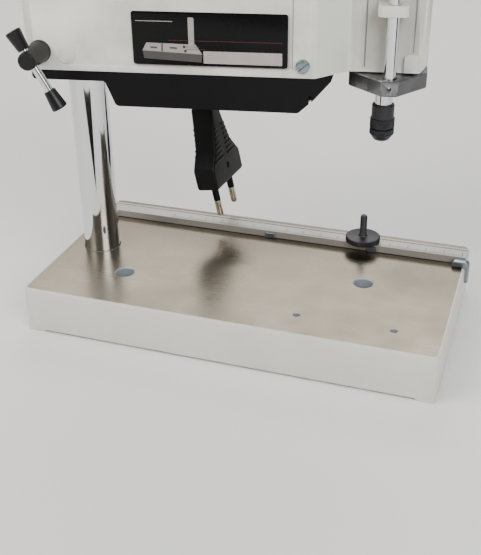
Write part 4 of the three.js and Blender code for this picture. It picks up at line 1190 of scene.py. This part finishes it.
@dataclass
class Feed:
    """The feed capstan on the operator's right."""

    x: float = 138.45
    z: float = 150.0
    boss_end: float = 32.0
    hub_end: float = 52.0
    phase: float = 80.0

    def build(self) -> None:
        """Make the hub, the three arms and the cover over the return spring."""
        dress(Finishes.STEEL, "feed_pinion_shaft", "return_spring")
        place = at(self.x, 0, self.z) @ NEAR
        cover = Shape.lathe([(4.4, -32.3), (12.2, -32.3), (12.5, -32.6), (12.5, -33.7), (12.2, -34),
                             (4.4, -34),
                             (4.4, -32.3)], 96)
        pits = [Shape.lathe([(0, -33.4), (0.9, -33.4), (0.9, -35), (0, -35)], 24)
                .shifted(8.6 * math.cos(a), 8.6 * math.sin(a), 0) for a in (0.4, 0.4 + math.pi)]
        fit("spring_cover_turned", "head", ["spring_cover"], cover.cut(*pits), Finishes.STEEL, place,
            bevel=0.08)
        middle = (self.boss_end + 2.5 + self.hub_end) / 2
        hub = Shape.lathe([(0, -34.5), (8.7, -34.5), (9, -34.9), (9, -45.5), (8.4, -49.5), (7.4, -51.4),
                           (6.4, -52),
                           (2.5, -52), (1.9, -51.5), (0, -51.5)], 96)
        holes = [Shape.lathe([(0, -30), (4.2, -30), (4.2, -49.5), (0, -49.5)], 40)]
        arms = []
        for i in range(3):
            turn = math.radians(self.phase + 120 * i)
            spot = Matrix.Translation((0, middle, 0)) @ Matrix.Rotation(math.pi / 2 - turn, 4, "Y")
            arms.append(spot)
            holes.append(bar(0, 0, 5, 14, 2.8, 40).moved(NEAR.inverted() @ spot))
        fit("feed_hub_moulded", "feed", ["feed_hub"], hub.cut(*holes), Finishes.GRIP, place, bevel=0.12)
        ball = [(2.5, 31.6), (3.2, 31.8)]
        ball += [(5.5 * math.cos(t), 37 + 5.5 * math.sin(t))
                 for t in (math.radians(-52 + 142 * j / 18) for j in range(18))]
        ball.append((0, 42.5))
        for i, spot in enumerate(arms):
            rod = Shape.lathe([(0, 5.4), (2.5, 5.4), (2.5, 32.5), (0, 32.5)], 56)
            knob = Shape.lathe([(0, 31.6), *ball], 72, mark=1)
            fit(f"feed_arm_{i + 1}_with_knob", "feed", [f"feed_arm_{i + 1}"], rod.with_(knob),
                (Finishes.CHROME, Finishes.GRIP), at(self.x, 0,
                                                     self.z) @ Matrix.Translation((0, middle * MM, 0))
                @ Matrix.Rotation(math.pi / 2 - math.radians(self.phase + 120 * i), 4, "Y"), bevel=0.1)


@dataclass
class Drive:
    """The motor, pulleys and belt under the lids: these keep the frame's shapes."""

    steel: tuple[str, ...] = ("motor_can", "motor_stator", "motor_shaft", "motor_bearing_lower",
                              "motor_bearing_upper", "pulley_bearing")
    turned: tuple[str, ...] = ("motor_end_plate", "motor_pulley", "spindle_pulley")

    def build(self) -> None:
        """Dress the pieces of the drive."""
        dress(Finishes.STEEL, *self.steel)
        dress(Finishes.TURNED, *self.turned)
        dress(Finishes.COPPER, "motor_rotor")
        dress(Finishes.SHEATH, "drive_belt", bevel=0.3)


# ------------------------------------------------------------------ studio
@dataclass
class Studio:
    """A pale floor, soft lights and dark cards for the bright metal to reflect."""

    floor: str = "F0EFEC"
    card_colour: str = "241C17"

    def build(self) -> None:
        """Make the floor, the world and the lights."""
        self.build_floor()
        self.build_world()
        self.light("key", (-0.75, -0.75, 1.15), (0.9, 0.7), 15.0, "FFFBF5")
        self.light("fill", (0.85, -0.75, 0.8), (0.7, 0.7), 13.0, "F8FAFF")
        self.light("back", (-0.2, 1.0, 0.9), (1.0, 0.5), 8.0, "FFFFFF")
        self.card("card_left", (-0.55, -0.25, 0.28), (0.16, 0.6), 60.0)
        self.card("card_right", (0.62, -0.12, 0.3), (0.22, 0.6), -70.0)
        self.streak_card()

    def paper(self, name: str, colour: str, roughness: float) -> bpy.types.Material:
        """A matt paper of one colour, made once."""
        material = bpy.data.materials.get(name) or bpy.data.materials.new(name)
        material.use_nodes = True
        shader = material.node_tree.nodes["Principled BSDF"]
        shader.inputs["Base Color"].default_value = linear(colour)
        shader.inputs["Roughness"].default_value = roughness
        return material

    def panel(self, name: str, corners: Sequence[Point3], material: bpy.types.Material,
              place: Matrix = STRAIGHT) -> bpy.types.Object:
        """Put up one flat piece of the studio.

        Args:
            name: The piece's name.
            corners: Its four corners, in metres.
            material: Its paper.
            place: Where its own axes sit.

        Returns:
            The piece's object.
        """
        data = bpy.data.meshes.new(name)
        data.from_pydata(corners, [], [(0, 1, 2, 3)])
        data.materials.append(material)
        obj = bpy.data.objects.new(name, data)
        bpy.context.collection.objects.link(obj)
        obj.matrix_world = place
        return obj

    def build_floor(self) -> None:
        """Make the floor."""
        far = 3.0
        corners = [(-far, -far, 0), (far, -far, 0), (far, far, 0), (-far, far, 0)]
        self.panel("floor", corners, self.paper("matt_floor", self.floor, 0.75))

    def build_world(self) -> None:
        """Make a soft sky with darker bands near the horizon."""
        world = bpy.data.worlds.new("soft_room")
        bpy.context.scene.world = world
        world.use_nodes = True
        tree = world.node_tree
        tree.nodes.clear()
        way = add_node(tree, "ShaderNodeTexCoord").outputs["Generated"]
        split = add_node(tree, "ShaderNodeSeparateXYZ", Vector=way)
        flat = add_node(tree, "ShaderNodeMapping", Vector=way, Scale=(1.0, 1.0, 0.05))
        bands = add_node(tree, "ShaderNodeTexNoise", Vector=flat.outputs[0], Scale=2.6, Detail=2.0)
        ramp = add_node(tree, "ShaderNodeValToRGB", Fac=bands.outputs["Fac"])
        ramp.color_ramp.elements[0].position = 0.42
        ramp.color_ramp.elements[0].color = linear("3C3A38")
        ramp.color_ramp.elements[1].position = 0.58
        ramp.color_ramp.elements[1].color = linear("F4F3F0")
        height = add_node(tree, "ShaderNodeMapRange", Value=split.outputs[2], From_Min=0.25, From_Max=0.75)
        sky = add_node(tree, "ShaderNodeMix", {"data_type": "RGBA"}, Factor=height.outputs[0],
                       in6=ramp.outputs[0], in7=linear("F6F6F4"))
        light = add_node(tree, "ShaderNodeBackground", Color=sky.outputs[2], Strength=0.62)
        out = add_node(tree, "ShaderNodeOutputWorld")
        tree.links.new(light.outputs[0], out.inputs[0])

    def light(self, name: str, place: Point3, size: Point2, power: float, colour: str) -> None:
        """Hang a soft rectangular light that faces the machine."""
        data = bpy.data.lights.new(name, "AREA")
        data.shape = "RECTANGLE"
        data.size, data.size_y = size
        data.energy = power
        data.color = linear(colour)[:3]
        obj = bpy.data.objects.new(name, data)
        bpy.context.collection.objects.link(obj)
        aim = Vector((0.08, 0, 0.1)) - Vector(place)
        obj.matrix_world = Matrix.Translation(place) @ aim.to_track_quat("-Z", "Y").to_matrix().to_4x4()

    def streak_card(self) -> None:
        """Stand a tapering dark card that only the polished column and rod reflect: a painted dark
        reflection streak on them.
        """
        way, distance = math.radians(-72), 0.15
        middle = Vector((distance * math.cos(way), distance * math.sin(way), 0))
        side = Vector((-math.sin(way), math.cos(way), 0))
        high, low = 0.075, 0.004
        spread = ((-0.004, low), (0.004, low), (0.05, high), (-0.06, high))
        corners = [(*(middle + side * reach).xy, z) for reach, z in spread]
        obj = self.panel("streak_card", corners, self.paper("black_card", self.card_colour, 0.9))
        obj.visible_camera = obj.visible_diffuse = obj.visible_shadow = False

    def card(self, name: str, place: Point3, size: Point2, turn: float) -> None:
        """Stand a dark card beside the machine, outside the picture."""
        w, h = size[0] / 2, size[1] / 2
        corners = [(-w, 0, -h), (w, 0, -h), (w, 0, h), (-w, 0, h)]
        stand = Matrix.Translation(place) @ Matrix.Rotation(math.radians(turn), 4, "Z")
        self.panel(name, corners, self.paper("black_card", self.card_colour, 0.9), stand)


def main() -> None:
    """Build the machine."""
    logging.basicConfig(level=logging.INFO, format="%(message)s")
    Camera().build()
    MainsLead().build()
    Table().build()
    Fence().build()
    Head().build()
    ColumnClamp().build()
    Quill().build()
    Feed().build()
    Drive().build()
    Studio().build()


if __name__ == "__main__":
    main()
